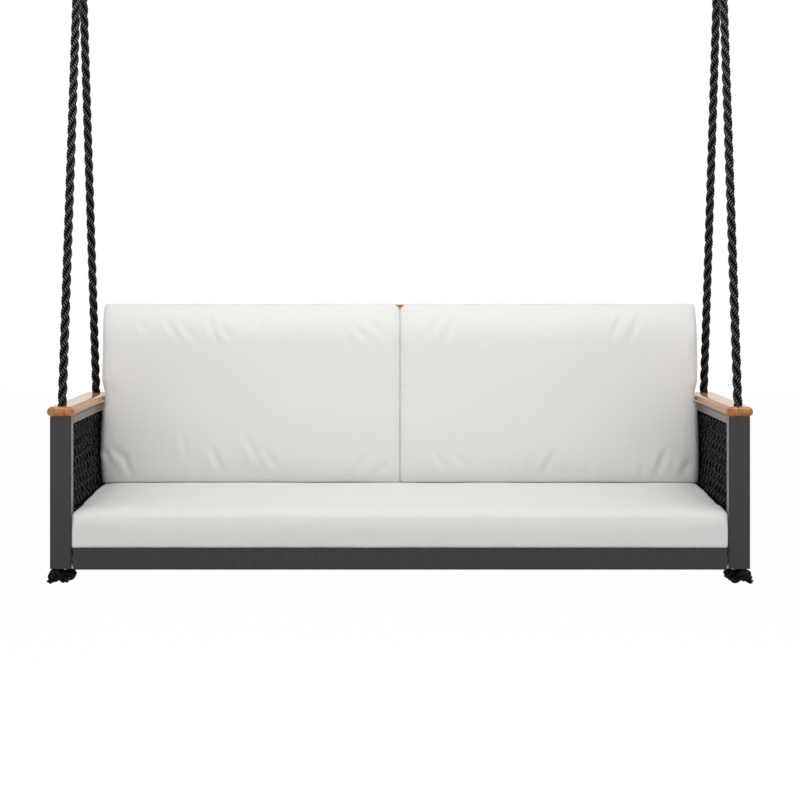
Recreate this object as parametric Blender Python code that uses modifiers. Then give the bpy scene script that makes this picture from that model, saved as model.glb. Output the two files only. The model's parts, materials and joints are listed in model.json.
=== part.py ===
"""Porch swing seat: a powder-coated tube frame with rope-woven sides, teak caps and
loose cushions, hung on one rope per side from two pivoting ceiling hangers.

Metres, +Z up, X to the right of someone who faces the seat, front towards -Y.
The origin lies on the ceiling, midway between the two hangers. The seat itself is
drawn in its own datum: X from the middle, Y back from the front face of the posts,
Z up from the foot of the posts."""

import bmesh
import bpy
from math import atan2, cos, pi, radians, sin
from mathutils import Vector

# ---------------------------------------------------------------- driving sizes
GAP = 0.0003                 # between pieces that touch

SEAT_WIDTH = 1.800           # over the outer faces of the posts
SEAT_DEPTH = 0.730           # front face to rear face of the posts

POST_WIDTH = 0.055           # along X
POST_DEPTH = 0.045           # along Y
POST_HEIGHT = 0.391
POST_WALL = 0.003
TUBE_CORNER = 0.004          # outer corner radius of every frame tube

ARM_TOP_RAIL_HEIGHT = 0.0215
ARM_BOTTOM_RAIL_HEIGHT = 0.045
ARM_RAIL_WALL = 0.002

ARM_CAP_THICKNESS = 0.025
CAP_OVERHANG = 0.0075        # teak past the tube on every side
BULLNOSE = 0.0118            # edge radius of the teak

SEAT_RAIL_HEIGHT = 0.0557
SEAT_RAIL_DEPTH = 0.035
SEAT_RAIL_DROP = 0.0025      # rail underside below the foot of the posts
SEAT_RAIL_WALL = 0.003
VENT_HOLE_RADIUS = 0.004     # drains a closed rail and vents it in the coating oven
VENT_HOLE_INSET = 0.120      # from the rail's end
SEAT_SIDE_GAP = 0.005        # bolted spacers between seat frame and arm frames
SPACER_RADIUS = 0.014
SPACER_SIDES = 16
BRACE_WIDTH = 0.035

SLAT_COUNT = 5
SLAT_WIDTH = 0.080
SLAT_THICKNESS = 0.018
SLAT_WALL = 0.0015

BACK_TOP = 0.6703            # top of the back's teak cap above the post foot
BACK_CAP_THICKNESS = 0.020
BACK_CAP_EDGE = 0.007
BACK_SIDE_GAP = 0.0025       # between the back frame and the teak arm caps
BACK_TUBE = 0.030            # stile width and top rail height
BACK_TUBE_WALL = 0.002

WEAVE_ROD_RADIUS = 0.005
BAND_THICKNESS = 0.006
BAND_FILL = 0.90             # band width as a share of its pitch
WEAVE_WAVE = 0.0085          # how far an upright swings to each side of the rows
ROW_CORD_RADIUS = 0.0032
WEAVE_SIDE_MARGIN = 0.014    # between the outermost bands and the side rods
WEAVE_END_MARGIN = 0.016     # between the outermost rows and the top and bottom rods
SIDE_ROD_SHARE = 0.96        # a side rod's radius, as a share of the rods it is welded to
ARM_WEAVE_INSET = 0.0135     # middle of an arm's weave behind the posts' inner faces
ARM_COLUMNS = 19
ARM_ROWS = 11
BACK_COLUMNS = 25
BACK_ROWS = 9

SEAT_CUSHION_THICKNESS = 0.113
SEAT_CUSHION_FRONT = 0.003   # behind the front face of the posts
SEAT_CUSHION_BACK_GAP = 0.004
SEAT_CUSHION_SIDE_GAP = 0.004
CUSHION_EDGE = 0.030
SOFT_SEGMENTS = 3            # facets round a cushion's or a teak edge
BACK_CUSHION_THICKNESS = 0.122
BACK_CUSHION_LEAN = 0.022    # the front face's top lies this far behind its foot
BACK_CUSHION_SPLIT = 0.003   # half the gap between the two back cushions
BACK_CUSHION_SIDE_GAP = 0.008

ROPE_RADIUS = 0.012
ROPE_CLEARANCE = 0.0007      # in the bored teak, the foot plugs and the whippings
ROPE_BEND_DROP = 0.014       # the rope starts to lean this far below the post top
ROPE_MEET_HEIGHT = 1.7995    # where the two leaning legs would cross
HANG_BACK = 0.4546           # hanger line behind the front face, over the centre of mass
HANG_X = 0.885               # hanger from the middle

FOOT_PLUG_THICKNESS = 0.008

KNOT_STRAND_RADIUS = 0.0068
KNOT_RADIUS = 0.0295
KNOT_RISE = 0.0092
KNOT_STEPS = 27
ROPE_INTO_KNOT = 0.003       # the rope's end below the post foot, between the knot's strands

WHIPPING_DROP = 0.010        # its middle below the meeting point of the legs
WHIPPING_HEIGHT = 0.036
WHIPPING_WALL = 0.003
LEG_STEPS = 8                # tube lengths along each leaning leg
EYE_RADIUS = 0.050           # of the rope's centreline round the ring
EYE_RISE = 0.092             # eye centre above the whipping
EYE_SWEEP = 248              # degrees of rope bent round the eye's centre
EYE_STEPS = 14

RING_BAR_RADIUS = 0.0055
RING_RADIUS = 0.032
LINK_THICKNESS = 0.008
LINK_RING_HOLE = 0.008
LINK_WALL = 0.008
LINK_LENGTH = 0.050          # ring hole to pivot
PIN_RADIUS = 0.006
PIN_HEAD_RADIUS = 0.0095
PIN_HEAD_LENGTH = 0.006
PIN_HEAD_CHAMFER = 0.0019
EAR_THICKNESS = 0.005
EAR_RADIUS = 0.015
EAR_FLARE = 0.006            # the ear's foot widens by this much on each side
LINK_SIDE_PLAY = 0.0005
PIVOT_DROP = 0.034           # pivot below the ceiling plate's underside
PLATE_LENGTH = 0.120
PLATE_WIDTH = 0.070
PLATE_THICKNESS = 0.006
PLATE_CORNER = 0.008
SCREW_HOLE_RADIUS = 0.0035
SCREW_HOLE_SIDES = 12
SCREW_INSET = 0.014
SMOOTH_ANGLE = 40            # degrees, above which an edge stays sharp
WELD_DISTANCE = 0.00001      # caps and sides of a curve are joined within this

# ---------------------------------------------------------------- derived places
POST_X = SEAT_WIDTH / 2 - POST_WIDTH / 2
FRONT_POST_Y = POST_DEPTH / 2
REAR_POST_Y = SEAT_DEPTH - POST_DEPTH / 2
INNER_FACE = SEAT_WIDTH / 2 - POST_WIDTH
SEAT_HALF = INNER_FACE - SEAT_SIDE_GAP
SEAT_RAIL_TOP = SEAT_RAIL_HEIGHT - SEAT_RAIL_DROP
SEAT_RAIL_Z = SEAT_RAIL_TOP - SEAT_RAIL_HEIGHT / 2
BACK_Y = SEAT_DEPTH - SEAT_RAIL_DEPTH / 2
BACK_HALF = INNER_FACE - CAP_OVERHANG - BACK_SIDE_GAP
BACK_RAIL_TOP = BACK_TOP - BACK_CAP_THICKNESS - GAP
KNOT_HALF_HEIGHT = KNOT_RISE + KNOT_STRAND_RADIUS
ROPE_BEND_Z = POST_HEIGHT - ROPE_BEND_DROP
LEG_SPACING = ROPE_RADIUS + ROPE_CLEARANCE     # leg to hanger line, inside the whipping
WHIPPING_Z = ROPE_MEET_HEIGHT - WHIPPING_DROP
EYE_Z = WHIPPING_Z + EYE_RISE
RING_Z = EYE_Z + EYE_RADIUS - ROPE_RADIUS - GAP - RING_BAR_RADIUS + RING_RADIUS
LINK_RING_Z = RING_Z + RING_RADIUS - RING_BAR_RADIUS - 2 * GAP + LINK_RING_HOLE
PIVOT_Z = LINK_RING_Z + LINK_LENGTH
CEILING_Z = PIVOT_Z + PIVOT_DROP + PLATE_THICKNESS


# ---------------------------------------------------------------- scene helpers
for old in list(bpy.data.objects):
    bpy.data.objects.remove(old, do_unlink=True)

PARTS = bpy.data.collections.new("porch_swing_seat")
CUTTERS = bpy.data.collections.new("cutters")
bpy.context.scene.collection.children.link(PARTS)
bpy.context.scene.collection.children.link(CUTTERS)


def finish_of(name, colour, roughness, metallic=0.0):
    """A Principled material for one sort of finish."""
    material = bpy.data.materials.new(name)
    material.use_nodes = True
    shader = material.node_tree.nodes["Principled BSDF"]
    shader.inputs["Base Color"].default_value = (*colour, 1.0)
    shader.inputs["Roughness"].default_value = roughness
    shader.inputs["Metallic"].default_value = metallic
    return material


POWDER_COAT = finish_of("anthracite_powder_coat", (0.052, 0.053, 0.054), 0.45)
TEAK = finish_of("oiled_teak", (0.42, 0.20, 0.08), 0.40)
ROPE = finish_of("black_rope", (0.012, 0.012, 0.013), 0.60)
FABRIC = finish_of("off_white_fabric", (0.78, 0.77, 0.73), 0.90)
STEEL = finish_of("zinc_plated_steel", (0.45, 0.45, 0.46), 0.35, 1.0)
PLASTIC = finish_of("black_nylon", (0.02, 0.02, 0.02), 0.50)


def empty(name, location, parent=None):
    mark = bpy.data.objects.new(name, None)
    mark.location = location
    mark.parent = parent
    PARTS.objects.link(mark)
    return mark


SWING_AXIS = empty("swing_axis", (0, 0, PIVOT_Z - CEILING_Z))
SEAT = empty("seat_datum", (0, -HANG_BACK, -PIVOT_Z), SWING_AXIS)
CEILING = empty("ceiling_datum", (0, -HANG_BACK, -CEILING_Z))


def add(name, data, location, parent=SEAT, rotation=(0, 0, 0), material=None, group=PARTS):
    """Puts a mesh or curve in the scene as a named object."""
    piece = bpy.data.objects.new(name, data)
    piece.location = location
    piece.rotation_euler = rotation
    piece.parent = parent
    group.objects.link(piece)
    if material:
        data.materials.append(material)
    return piece


def mesh_from(name, build):
    """A mesh whose shape is made by build(bm)."""
    bm = bmesh.new()
    build(bm)
    mesh = bpy.data.meshes.new(name)
    bm.to_mesh(mesh)
    bm.free()
    return mesh


def welded(piece):
    """Turns a curve object into a mesh object with its caps merged on."""
    bpy.context.view_layer.update()
    graph = bpy.context.evaluated_depsgraph_get()
    mesh = bpy.data.meshes.new_from_object(piece.evaluated_get(graph))
    bm = bmesh.new()
    bm.from_mesh(mesh)
    bmesh.ops.remove_doubles(bm, verts=bm.verts, dist=WELD_DISTANCE)
    bm.to_mesh(mesh)
    bm.free()
    name, parent = piece.name, piece.parent
    place, turn, group = piece.location.copy(), piece.rotation_euler.copy(), piece.users_collection[0]
    bpy.data.objects.remove(piece, do_unlink=True)
    return add(name, mesh, place, parent, turn, group=group)


def cutter(piece):
    """Marks an object as a tool that is not itself part of the swing."""
    piece.hide_render = True
    piece.display_type = "WIRE"
    for group in list(piece.users_collection):
        group.objects.unlink(piece)
    CUTTERS.objects.link(piece)
    return piece


def boolean(piece, other, operation="DIFFERENCE"):
    change = piece.modifiers.new(operation.lower(), "BOOLEAN")
    change.operation = operation
    change.object = cutter(other)
    change.solver = "EXACT"


# ---------------------------------------------------------------- outlines and bars
def rounded_rectangle(width, height, radius, steps=2):
    """Points round a rectangle, with an arc of some steps at each corner."""
    if radius <= 0:
        return [(width / 2, height / 2), (-width / 2, height / 2),
                (-width / 2, -height / 2), (width / 2, -height / 2)]
    points = []
    for corner, (sx, sy) in enumerate(((1, 1), (-1, 1), (-1, -1), (1, -1))):
        for step in range(steps + 1):
            angle = (corner + step / steps) * pi / 2
            points.append((sx * (width / 2 - radius) + radius * cos(angle),
                           sy * (height / 2 - radius) + radius * sin(angle)))
    return points


def circle(radius, steps=16, centre=(0, 0)):
    return [(centre[0] + radius * cos(2 * pi * k / steps),
             centre[1] + radius * sin(2 * pi * k / steps)) for k in range(steps)]


def stadium(length, radius, steps=8):
    """Points round two half circles whose centres are length apart along Y."""
    points = []
    for end in (1, -1):
        for step in range(steps + 1):
            angle = pi * step / steps + (0 if end > 0 else pi)
            points.append((radius * cos(angle), end * length / 2 + radius * sin(angle)))
    return points


def flat_piece(name, outlines, thickness, location, rotation=(0, 0, 0), parent=SEAT, material=None):
    """A plate or bar: filled outlines, holes included, extruded about their own plane."""
    curve = bpy.data.curves.new(name, "CURVE")
    curve.dimensions = "2D"
    curve.fill_mode = "BOTH"
    curve.extrude = thickness / 2
    for outline in outlines:
        spline = curve.splines.new("POLY")
        spline.points.add(len(outline) - 1)
        for point, (x, y) in zip(spline.points, outline):
            point.co = (x, y, 0, 1)
        spline.use_cyclic_u = True
    return add(name, curve, location, parent, rotation, material)


ALONG = {"X": (pi / 2, 0, pi / 2), "Y": (pi / 2, 0, 0), "Z": (0, 0, 0)}


def tube(name, across, up, length, wall, location, axis, material=POWDER_COAT):
    """A rectangular tube along an axis, open at both ends, or a solid bar with no wall."""
    outlines = [rounded_rectangle(across, up, TUBE_CORNER)]
    if wall:
        outlines.append(rounded_rectangle(across - 2 * wall, up - 2 * wall, 0))
    return flat_piece(name, outlines, length, location, ALONG[axis], material=material)


def closed_rail(name, across, up, length, wall, location):
    """A tube along X with welded end plates and two vent holes in its underside."""
    rail = welded(tube(name, across, up, length, 0, location, "X"))
    boolean(rail, block("rail_bore", (length - 2 * wall, across - 2 * wall, up - 2 * wall),
                        location, 0, 0, None))
    for end in (-1, 1):
        x = end * (length / 2 - VENT_HOLE_INSET)
        boolean(rail, rod("rail_vent", VENT_HOLE_RADIUS, 4 * wall,
                          (location[0] + x, location[1], location[2] - up / 2), "Z"))


def rod(name, radius, length, location, axis, sides=8, parent=SEAT, material=None):
    """A round bar along an axis."""
    def build(bm):
        bmesh.ops.create_cone(bm, cap_ends=True, segments=sides, radius1=radius,
                              radius2=radius, depth=length)
    return add(name, mesh_from(name, build), location, parent, ALONG[axis], material)


def cord_tube(name, points, radius, resolution, material, closed=False, parent=SEAT):
    """A round tube along a list of points, with filled ends."""
    curve = bpy.data.curves.new(name, "CURVE")
    curve.dimensions = "3D"
    curve.bevel_depth = radius
    curve.bevel_resolution = resolution
    curve.use_fill_caps = True
    spline = curve.splines.new("POLY")
    spline.points.add(len(points) - 1)
    for point, place in zip(spline.points, points):
        point.co = (*place, 1)
    spline.use_cyclic_u = closed
    return add(name, curve, (0, 0, 0), parent, material=material)


def block(name, size, location, edge, segments, material):
    """A box with rounded edges."""
    def build(bm):
        bmesh.ops.create_cube(bm, size=1)
        bmesh.ops.scale(bm, vec=size, verts=bm.verts)
    piece = add(name, mesh_from(name, build), location, material=material)
    if edge:
        bevel = piece.modifiers.new("edges", "BEVEL")
        bevel.width = edge
        bevel.segments = segments
    return piece


def smooth(piece):
    piece.data.shade_smooth()
    piece.data.set_sharp_from_angle(angle=radians(SMOOTH_ANGLE))


# ---------------------------------------------------------------- arm frames
SIDES = (("left", -1), ("right", 1))


def leg_line(post_y):
    """Where a leg of rope starts to lean, and the unit vector along it (right-hand side)."""
    start = Vector((POST_X, post_y, ROPE_BEND_Z))
    end = Vector((HANG_X, HANG_BACK, ROPE_MEET_HEIGHT))
    return start, (end - start).normalized()


def arm_frame(side, sign):
    """Two posts, two rails and the bored teak cap of one side."""
    x = sign * POST_X
    for place, y in (("front", FRONT_POST_Y), ("rear", REAR_POST_Y)):
        tube(f"{side}_{place}_post", POST_WIDTH, POST_DEPTH, POST_HEIGHT, POST_WALL,
             (x, y, POST_HEIGHT / 2), "Z")
        plug_outline = rounded_rectangle(POST_WIDTH - 2 * (POST_WALL + GAP),
                                         POST_DEPTH - 2 * (POST_WALL + GAP), 0)
        flat_piece(f"{side}_{place}_foot_plug",
                   [plug_outline, circle(ROPE_RADIUS + ROPE_CLEARANCE)],
                   FOOT_PLUG_THICKNESS, (x, y, FOOT_PLUG_THICKNESS / 2), material=PLASTIC)
    rail_length = SEAT_DEPTH - 2 * (POST_DEPTH + GAP)
    tube(f"{side}_arm_top_rail", POST_WIDTH, ARM_TOP_RAIL_HEIGHT, rail_length, ARM_RAIL_WALL,
         (x, SEAT_DEPTH / 2, POST_HEIGHT - ARM_TOP_RAIL_HEIGHT / 2), "Y")
    tube(f"{side}_arm_bottom_rail", POST_WIDTH, ARM_BOTTOM_RAIL_HEIGHT, rail_length,
         ARM_RAIL_WALL, (x, SEAT_DEPTH / 2, ARM_BOTTOM_RAIL_HEIGHT / 2), "Y")

    cap_z = POST_HEIGHT + GAP + ARM_CAP_THICKNESS / 2
    cap = block(f"{side}_arm_cap",
                (POST_WIDTH + 2 * CAP_OVERHANG, SEAT_DEPTH + 2 * CAP_OVERHANG, ARM_CAP_THICKNESS),
                (x, SEAT_DEPTH / 2, cap_z), BULLNOSE, SOFT_SEGMENTS, TEAK)
    for y in (FRONT_POST_Y, REAR_POST_Y):
        start, lean = leg_line(y)
        centre = start + lean * (cap_z - start.z) / lean.z
        drill = rod("rope_bore", ROPE_RADIUS + ROPE_CLEARANCE, 3 * ARM_CAP_THICKNESS,
                    (sign * centre.x, centre.y, centre.z), "Z", sides=16)
        drill.rotation_euler = (-atan2(lean.y, lean.z), atan2(sign * lean.x, lean.z), 0)
        boolean(cap, drill)


# ---------------------------------------------------------------- weave
def band_loft(bm, path, half_width):
    """A flat band along a path of (u, n, z) points. Its edges stay along u, however much
    the path shifts sideways, and its thickness is mitred across n and z at each bend."""
    flat = [Vector((n, z)) for _, n, z in path]
    rims = []
    for k, (u, n, z) in enumerate(path):
        before = (flat[k] - flat[max(k - 1, 0)]).normalized()
        after = (flat[min(k + 1, len(path) - 1)] - flat[k]).normalized()
        tangent = (before + after).normalized()
        normal = Vector((-tangent.y, tangent.x))
        along = after if after.length else before
        half = BAND_THICKNESS / 2 / max(0.5, tangent.dot(along))
        rims.append([bm.verts.new((u + su * half_width, n + sn * half * normal.x,
                                   z + sn * half * normal.y))
                     for su, sn in ((-1, -1), (1, -1), (1, 1), (-1, 1))])
    for ring, following in zip(rims, rims[1:]):
        for k in range(4):
            m = (k + 1) % 4
            bm.faces.new((ring[k], ring[m], following[m], following[k]))
    bm.faces.new(rims[0][::-1])
    bm.faces.new(rims[-1])
    bmesh.ops.recalc_face_normals(bm, faces=bm.faces)


def woven_panel(prefix, centre, width, height, columns, rows, axis):
    """A rod frame filled with one band that snakes up and down through one cord of rows.

    The panel is drawn flat, u across, n through it and z up, and then turned to its
    side of the seat: u runs along Y on an arm and along X on the back."""
    turn = (0, 0, pi / 2) if axis == "Y" else (0, 0, 0)
    reach = WEAVE_ROD_RADIUS + BAND_THICKNESS / 2 + 2 * GAP
    rod_z = height / 2 - reach - BAND_THICKNESS / 2 - GAP
    cord_reach = WEAVE_ROD_RADIUS + ROW_CORD_RADIUS + 2 * GAP
    rod_u = width / 2 - cord_reach - ROW_CORD_RADIUS - GAP

    frame = rod(f"{prefix}_weave_frame", WEAVE_ROD_RADIUS, width, (0, 0, rod_z), "X")
    lower = rod("lower_rod", WEAVE_ROD_RADIUS, width, (0, 0, -rod_z), "X")
    boolean(frame, lower, "UNION")
    for end in (-1, 1):
        side = rod("side_rod", WEAVE_ROD_RADIUS * SIDE_ROD_SHARE, 2 * rod_z,
                   (end * rod_u, 0, 0), "Z")
        boolean(frame, side, "UNION")
    frame = applied(frame, turn, centre, POWDER_COAT)

    pitch = 2 * (rod_u - WEAVE_ROD_RADIUS - WEAVE_SIDE_MARGIN) / columns
    half_band = pitch * BAND_FILL / 2
    row_pitch = 2 * (rod_z - WEAVE_END_MARGIN) / (rows - 1)
    row_z = [(row - (rows - 1) / 2) * row_pitch for row in range(rows)]

    path = []
    for column in range(columns):
        u = (column - (columns - 1) / 2) * pitch
        way = 1 if column % 2 == 0 else -1
        run = [(u, WEAVE_WAVE * (1 if (row + column) % 2 == 0 else -1), row_z[row])
               for row in range(rows)][::way]
        face = 1 if run[-1][1] > 0 else -1
        if column == 0:
            path.append((u, reach if run[0][1] > 0 else -reach, -way * rod_z))
        path += run
        if column < columns - 1:
            over = way * (rod_z + reach)
            path += [(u, face * reach, over), (u + pitch, -face * reach, over)]
    path.append((u, face * reach, way * rod_z))
    uprights = add(f"{prefix}_weave_uprights",
                   mesh_from(prefix, lambda bm: band_loft(bm, path, half_band)),
                   centre, rotation=turn, material=ROPE)

    cord = []
    for row in range(rows):
        end = 1 if row % 2 == 0 else -1
        z = row_z[row]
        inner = end * (rod_u - WEAVE_ROD_RADIUS - WEAVE_SIDE_MARGIN + 2 * ROW_CORD_RADIUS)
        cord += [(-inner, 0, z), (inner, 0, z)]
        if row < rows - 1:
            above = row_z[row + 1]
            cord += [(end * (rod_u - ROW_CORD_RADIUS), cord_reach, z),
                     (end * (rod_u + cord_reach), cord_reach, z),
                     (end * (rod_u + cord_reach), -cord_reach, above),
                     (end * (rod_u - ROW_CORD_RADIUS), -cord_reach, above)]
    place = cord_tube(f"{prefix}_weave_rows", cord, ROW_CORD_RADIUS, 0, ROPE)
    place.location = centre
    place.rotation_euler = turn


def applied(piece, rotation, location, material):
    """The piece with its Boolean unions baked in, turned and moved as one mesh object."""
    bpy.context.view_layer.update()
    graph = bpy.context.evaluated_depsgraph_get()
    mesh = bpy.data.meshes.new_from_object(piece.evaluated_get(graph))
    mesh.transform(piece.matrix_local)
    name = piece.name
    bpy.data.objects.remove(piece, do_unlink=True)
    return add(name, mesh, location, rotation=rotation, material=material)


# ---------------------------------------------------------------- seat and back frames
def seat_frame():
    """Front and rear rails, end rails, a brace and the slats that carry the cushion."""
    rail_y = {"front": SEAT_RAIL_DEPTH / 2, "rear": SEAT_DEPTH - SEAT_RAIL_DEPTH / 2}
    for place, y in rail_y.items():
        closed_rail(f"seat_{place}_rail", SEAT_RAIL_DEPTH, SEAT_RAIL_HEIGHT, 2 * SEAT_HALF,
                    SEAT_RAIL_WALL, (0, y, SEAT_RAIL_Z))
    span = SEAT_DEPTH - 2 * (SEAT_RAIL_DEPTH + GAP)
    for side, sign in SIDES:
        tube(f"seat_{side}_end_rail", SEAT_RAIL_DEPTH, SEAT_RAIL_HEIGHT, span, SEAT_RAIL_WALL,
             (sign * (SEAT_HALF - SEAT_RAIL_DEPTH / 2), SEAT_DEPTH / 2, SEAT_RAIL_Z), "Y")
        for place, y in rail_y.items():
            rod(f"{side}_{place}_spacer", SPACER_RADIUS, SEAT_SIDE_GAP - 2 * GAP,
                (sign * (SEAT_HALF + SEAT_SIDE_GAP / 2), y, SEAT_RAIL_Z), "X", SPACER_SIDES,
                material=PLASTIC)
    brace_height = SEAT_RAIL_HEIGHT - SLAT_THICKNESS - GAP
    tube("seat_centre_brace", BRACE_WIDTH, brace_height, span, SEAT_RAIL_WALL,
         (0, SEAT_DEPTH / 2, brace_height / 2 - SEAT_RAIL_DROP), "Y")
    gap = (span - SLAT_COUNT * SLAT_WIDTH) / (SLAT_COUNT + 1)
    slat_length = 2 * (SEAT_HALF - SEAT_RAIL_DEPTH - GAP)
    for number in range(SLAT_COUNT):
        y = SEAT_RAIL_DEPTH + GAP + gap + SLAT_WIDTH / 2 + number * (SLAT_WIDTH + gap)
        tube(f"seat_slat_{number + 1}", SLAT_WIDTH, SLAT_THICKNESS, slat_length, SLAT_WALL,
             (0, y, SEAT_RAIL_TOP - SLAT_THICKNESS / 2), "X")


def back_frame():
    """Two stiles on the seat's rear rail, the top rail and its teak cap."""
    rail_z = BACK_RAIL_TOP - BACK_TUBE / 2
    closed_rail("back_top_rail", SEAT_RAIL_DEPTH, BACK_TUBE, 2 * BACK_HALF, BACK_TUBE_WALL,
                (0, BACK_Y, rail_z))
    stile_foot = SEAT_RAIL_TOP + GAP
    stile_height = rail_z - BACK_TUBE / 2 - GAP - stile_foot
    for side, sign in SIDES:
        tube(f"back_{side}_stile", BACK_TUBE, SEAT_RAIL_DEPTH, stile_height, BACK_TUBE_WALL,
             (sign * (BACK_HALF - BACK_TUBE / 2), BACK_Y, stile_foot + stile_height / 2), "Z")
    block("back_cap", (2 * BACK_HALF, SEAT_RAIL_DEPTH + 2 * CAP_OVERHANG, BACK_CAP_THICKNESS),
          (0, BACK_Y, BACK_TOP - BACK_CAP_THICKNESS / 2), BACK_CAP_EDGE, SOFT_SEGMENTS, TEAK)
    opening_width = 2 * (BACK_HALF - BACK_TUBE - GAP)
    opening_height = stile_height
    woven_panel("back", (0, BACK_Y, stile_foot + stile_height / 2),
                opening_width, opening_height, BACK_COLUMNS, BACK_ROWS, "X")


# ---------------------------------------------------------------- cushions
def cushions():
    """One seat cushion and two back cushions, as plain soft-edged solids."""
    front, back = SEAT_CUSHION_FRONT, SEAT_DEPTH - SEAT_RAIL_DEPTH - SEAT_CUSHION_BACK_GAP
    foot = SEAT_RAIL_TOP + GAP
    width = 2 * (INNER_FACE - SEAT_CUSHION_SIDE_GAP)
    block("seat_cushion", (width, back - front, SEAT_CUSHION_THICKNESS),
          (0, (front + back) / 2, foot + SEAT_CUSHION_THICKNESS / 2), CUSHION_EDGE, SOFT_SEGMENTS,
          FABRIC)
    base = foot + SEAT_CUSHION_THICKNESS + GAP
    height = BACK_TOP - base
    back_face = BACK_Y - SEAT_RAIL_DEPTH / 2 - SEAT_CUSHION_BACK_GAP - CAP_OVERHANG
    across = INNER_FACE - BACK_CUSHION_SIDE_GAP - BACK_CUSHION_SPLIT
    for side, sign in SIDES:
        cushion = block(f"{side}_back_cushion", (across, BACK_CUSHION_THICKNESS, height),
                        (sign * (BACK_CUSHION_SPLIT + across / 2),
                         back_face - BACK_CUSHION_THICKNESS / 2, base + height / 2),
                        CUSHION_EDGE, SOFT_SEGMENTS, FABRIC)
        for corner in cushion.data.vertices:
            if corner.co.z > 0 and corner.co.y < 0:
                corner.co.y += BACK_CUSHION_LEAN


# ---------------------------------------------------------------- rope and its fittings
def rope_route(sign):
    """The centreline of one side's rope: up the front post, round the ring, down the rear."""
    def leg(post_y, side):
        start, lean = leg_line(post_y)
        slope = lean.z / abs(lean.y)
        gather_z = ROPE_MEET_HEIGHT - (LEG_SPACING + ROPE_CLEARANCE) * slope
        points = [(POST_X, post_y, -ROPE_INTO_KNOT), (POST_X, post_y, POST_HEIGHT / 2),
                  (POST_X, post_y, ROPE_BEND_Z - ROPE_RADIUS)]
        first = start + lean * ROPE_RADIUS
        last = start + lean * ((gather_z - start.z) / lean.z)
        for step in range(LEG_STEPS + 1):
            points.append(tuple(first.lerp(last, step / LEG_STEPS)))
        beside = HANG_BACK - side * LEG_SPACING
        points += [(HANG_X, beside, z) for z in
                   (WHIPPING_Z - WHIPPING_HEIGHT / 2, WHIPPING_Z + WHIPPING_HEIGHT / 2)]
        return points

    eye = []
    for step in range(EYE_STEPS + 1):
        angle = radians(90 + EYE_SWEEP / 2 - EYE_SWEEP * step / EYE_STEPS)
        eye.append((HANG_X, HANG_BACK + EYE_RADIUS * cos(angle), EYE_Z + EYE_RADIUS * sin(angle)))
    neck = 1.5 * ROPE_RADIUS
    rise = WHIPPING_Z + WHIPPING_HEIGHT
    route = leg(FRONT_POST_Y, 1) + [(HANG_X, HANG_BACK - neck, rise)] + eye
    route += [(HANG_X, HANG_BACK + neck, rise)] + list(reversed(leg(REAR_POST_Y, -1)))
    return [(sign * x, y, z) for x, y, z in route]


def foot_knot(name, x, y):
    """The stopper knot under a post, as a closed trefoil of one strand."""
    unit = KNOT_RADIUS / 3
    points = []
    for step in range(KNOT_STEPS):
        t = 2 * pi * step / KNOT_STEPS
        points.append((x + unit * (sin(t) + 2 * sin(2 * t)),
                       y + unit * (cos(t) - 2 * cos(2 * t)),
                       -KNOT_HALF_HEIGHT - KNOT_RISE * sin(3 * t)))
    cord_tube(name, points, KNOT_STRAND_RADIUS, 1, ROPE, closed=True)


def rope_and_fittings(side, sign):
    cord_tube(f"{side}_rope", rope_route(sign), ROPE_RADIUS, 2, ROPE)
    for place, y in (("front", FRONT_POST_Y), ("rear", REAR_POST_Y)):
        foot_knot(f"{side}_{place}_knot", sign * POST_X, y)
    x = sign * HANG_X
    flat_piece(f"{side}_rope_whipping",
               [stadium(2 * LEG_SPACING, LEG_SPACING + WHIPPING_WALL),
                stadium(2 * LEG_SPACING, LEG_SPACING)],
               WHIPPING_HEIGHT, (x, HANG_BACK, WHIPPING_Z), material=ROPE)

    bpy.ops.mesh.primitive_torus_add(major_segments=20, minor_segments=8,
                                     major_radius=RING_RADIUS, minor_radius=RING_BAR_RADIUS)
    ring = bpy.context.object
    ring.name = f"{side}_rope_ring"
    ring.data.materials.append(STEEL)
    ring.parent = SEAT
    ring.location = (x, HANG_BACK, RING_Z)
    ring.rotation_euler = (pi / 2, 0, 0)
    for group in list(ring.users_collection):
        group.objects.unlink(ring)
    PARTS.objects.link(ring)
    smooth(ring)

    half = LINK_LENGTH / 2
    flat_piece(f"{side}_hanger_link",
               [stadium(LINK_LENGTH, LINK_RING_HOLE + LINK_WALL),
                circle(LINK_RING_HOLE, centre=(0, -half)),
                circle(PIN_RADIUS + GAP, centre=(0, half))],
               LINK_THICKNESS, (x, HANG_BACK, PIVOT_Z - half), ALONG["X"], material=STEEL)


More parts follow.
